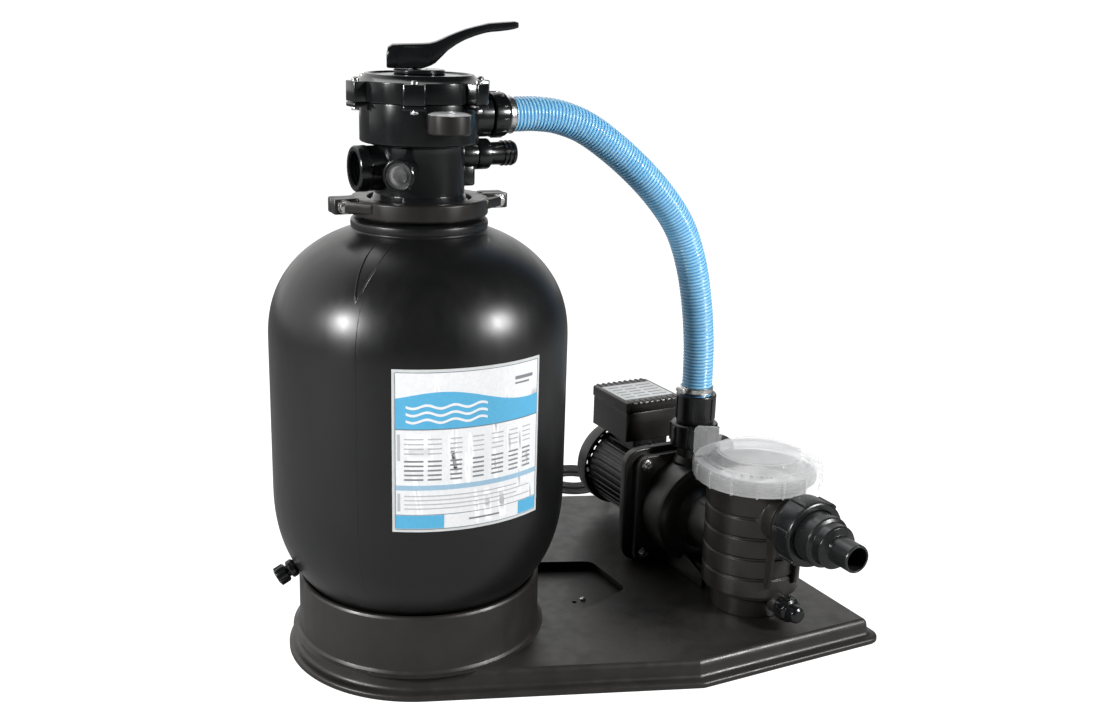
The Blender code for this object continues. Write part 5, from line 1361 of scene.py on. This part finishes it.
def drain_plug():
    where = pump_along(0, DRAIN_PLUG_HEIGHT, forwards=True)
    knob = [(0, 0.1108), (0.0072, 0.1104), (0.0108, 0.1080), (0.0120, 0.1035), (0.0121, 0.0950),
            (0.0160, 0.0930), (0.0166, 0.0900), (0.0166, 0.0765), (0.0155, 0.0746), (0.0042, 0.0746),
            (0.0042, 0.060), (0, 0.060)]
    parts = [turned("drain_knob", knob, where, VALVE_PLASTIC, 0.0012, 72)]
    parts += blocks("grip", where, 10, (0.0145, 0.0176), 0.0016, (0.0775, 0.0915), VALVE_PLASTIC, 0.0009,
                    0.0008)
    ready(fused("drain_knob", parts), "pot_plug", "pump_plastic", "pot_drain_plug")


def bracket():
    """The square bracket between pump and motor, with a round nest about the shaft."""
    front, back = 0.1823, 0.1960
    body = plate("motor_bracket", 0.097, 0.206, PUMP_FOOT, front, back, 0.030, CLAMP_PLASTIC, 0.0022)
    nest = turned("nest", [(0.0170, 0.2095), (0.0235, 0.2095), (0.0240, 0.192), (0.0170, 0.192)],
                  pump_along(0, SHAFT_HEIGHT), CLAMP_PLASTIC, 0.0006, 64, loop=True)
    hole = rod("hole", 0.0163, 0.17, 0.22, pump_along(0, SHAFT_HEIGHT), CLAMP_PLASTIC, 0.0004, 64)
    ready(fused("motor_bracket", [body, nest], [hole]), "base", "pump_plastic", "seal_bracket")


def motor():
    """The finned housing with its collar, its tail and the saddle under the terminal box."""
    axis = pump_along(0, SHAFT_HEIGHT)
    fins = 36
    core = [(0.0506, 0.1968), (0.0550, 0.1966), (0.0550, 0.3500), (0.0506, 0.3500)]
    parts = [turned("motor_case", core, axis, MOTOR_PAINT, 0.0005, 144, loop=True)]
    for index in range(fins):
        angle = math.tau * index / fins
        fin = brick("fin", (0.0520, -0.0013, 0.2060), (0.0620, 0.0013, 0.3490), spun(axis, angle),
                    MOTOR_PAINT, 0.0008, 0.0008)
        parts.append(fin)
    collar = [(0.0510, 0.1966), (0.0645, 0.1966), (0.0660, 0.1985), (0.0660, 0.2050), (0.0645, 0.2070),
              (0.0510, 0.2070)]
    parts.append(turned("collar", collar, axis, MOTOR_PAINT, 0.0007, 144, loop=True))
    tail = [(0.0163, 0.3322), (0.0540, 0.3325), (0.0600, 0.3480), (0.0600, 0.3510), (0.0163, 0.3518)]
    parts.append(turned("tail", tail, axis, MOTOR_PAINT, 0.0007, 144, loop=True))
    parts.append(brick("saddle", (0.268, -0.031, 0.164), (0.332, 0.031, 0.1857), PUMP, MOTOR_PAINT, 0.001,
                       0.004))
    cuts = [rod("bore", 0.0506, 0.19, 0.3322, axis, MOTOR_PAINT, 0.0005, 144)]
    ready(fused("motor_case", parts, cuts), "base", "motor_paint", "motor_housing")


def fan_cover():
    axis = pump_along(0, SHAFT_HEIGHT)
    profile = [(0, 0.3818), (0.0585, 0.3818), (0.0640, 0.3800), (0.0672, 0.3765), (0.0682, 0.3710),
               (0.0682, 0.3520), (0.0675, 0.3506), (0.0655, 0.3506), (0.0652, 0.3720), (0.0630, 0.3765),
               (0.0585, 0.3792), (0, 0.3792)]
    shell = turned("fan_cowl", profile, axis, CLAMP_PLASTIC, 0.0007, 144)
    cuts = []
    for reach in (0.020, 0.0285, 0.037, 0.0455):
        count = max(6, int(reach * math.tau / 0.012))
        cuts += blocks("slot", axis, count, (reach, reach + 0.0045), 0.0035, (0.37, 0.39), CLAMP_PLASTIC,
                       0.0003, 0.0014, reach * 40)
    ready(fused("fan_cowl", [shell], cuts), "base", "pump_plastic", "fan_cover")


def terminal_box():
    box = brick("terminal_case", (0.262, -0.048, 0.1863), (0.367, 0.048, 0.2320), PUMP, CLAMP_PLASTIC,
                0.0012, 0.004)
    hollow = brick("hollow", (0.265, -0.045, 0.190), (0.364, 0.045, 0.24), PUMP, CLAMP_PLASTIC, 0.0008,
                   0.003)
    gland = rod("hole", 0.0083, 0.35, 0.39, pump_along(0, GLAND_HEIGHT), CLAMP_PLASTIC, 0.0003, 32)
    ready(fused("terminal_case", [box], [hollow, gland]), "base", "pump_plastic", "terminal_box")
    parts = [brick("terminal_cover", (0.2605, -0.0495, 0.2323), (0.3685, 0.0495, 0.2490), PUMP,
                   CLAMP_PLASTIC, 0.0022, 0.005)]
    for end in (-1, 1):
        for index in range(9):
            y = -0.040 + index * 0.010
            x = 0.3145 + end * 0.0475
            parts.append(brick("rib", (x - 0.0070, y - 0.0022, 0.2440), (x + 0.0070, y + 0.0022, 0.2500),
                               PUMP, CLAMP_PLASTIC, 0.0008, 0.0008))
    room = brick("room", (0.265, -0.045, 0.22), (0.364, 0.045, 0.2465), PUMP, CLAMP_PLASTIC, 0.0008, 0.003)
    ready(fused("terminal_cover", parts, [room]), "base", "pump_plastic", "terminal_lid")
    plate_ = brick("rating_plate", (0.2790, -0.0435, 0.2486), (0.3500, 0.0435, 0.2494), PUMP, LABEL_SILVER,
                   0.0001, 0.002)
    ready(plate_, "base", "pump_plastic")
    marks = []
    for row in range(5):
        x = 0.2870 + row * 0.0125
        for low, high in ((-0.038, -0.012), (-0.006, 0.014), (0.020, 0.037)):
            marks.append(brick("mark", (x, low, 0.2492), (x + 0.0030, high, 0.2496), PUMP, LABEL_GREY,
                               0.0001, 0.0003))
    ready(fused("rating_marks", marks), "base", "pump_plastic")
    profile = [(0.0045, 0.3920), (0.0070, 0.3920), (0.0088, 0.3900), (0.0105, 0.3865), (0.0110, 0.3680),
               (0.0080, 0.3676), (0.0080, 0.3600), (0.0045, 0.3600)]
    where = pump_along(0, GLAND_HEIGHT)
    parts = [turned("gland_nut", profile, where, FITTING_PLASTIC, 0.0006, 48, loop=True)]
    parts += blocks("grip", where, 8, (0.0100, 0.0118), 0.0012, (0.3690, 0.3850), FITTING_PLASTIC, 0.0005,
                    0.0004)
    ready(fused("gland_nut", parts), "base", "pump_plastic", "cable_gland")


# ---------------------------------------------------------------- CAD nodes that stay

NODE_FINISHES = {
    "standpipe": INNER_PLASTIC, "lateral_collector": INNER_PLASTIC, "valve_rotor": INNER_PLASTIC,
    "impeller": INNER_PLASTIC, "capacitor": INNER_PLASTIC, "cooling_fan": FITTING_PLASTIC,
    "neck_o_ring": RUBBER, "lid_o_ring": RUBBER, "mechanical_seal": RUBBER, "rotor_spring": STEEL,
    "handle_pin": STEEL, "motor_shaft": STEEL, "front_bearing": STEEL, "rear_bearing": STEEL,
    "rotor_core": CORE_STEEL, "stator": CORE_STEEL, "gauge_needle": NEEDLE_PAINT,
}


def refinish_nodes():
    for name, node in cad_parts.items():
        if not node.hide_render:
            node.data.materials.clear()
            node.data.materials.append(NODE_FINISHES[name])
            node.data.shade_smooth()
            node.data.set_sharp_from_angle(angle=SHARP_ANGLE)


bpy.context.scene.view_settings.view_transform = "Standard"
camera()
hose()
mains_cable()
base()
tank()
label()
clamp()
valve_body()
valve_cover()
handle()
sight_glass()
gauge()
valve_tails()
hose_clips()
discharge()
suction()
pot()
bolts()
lid()
basket()
drain_plug()
bracket()
motor()
fan_cover()
terminal_box()
refinish_nodes()
studio()
floor()
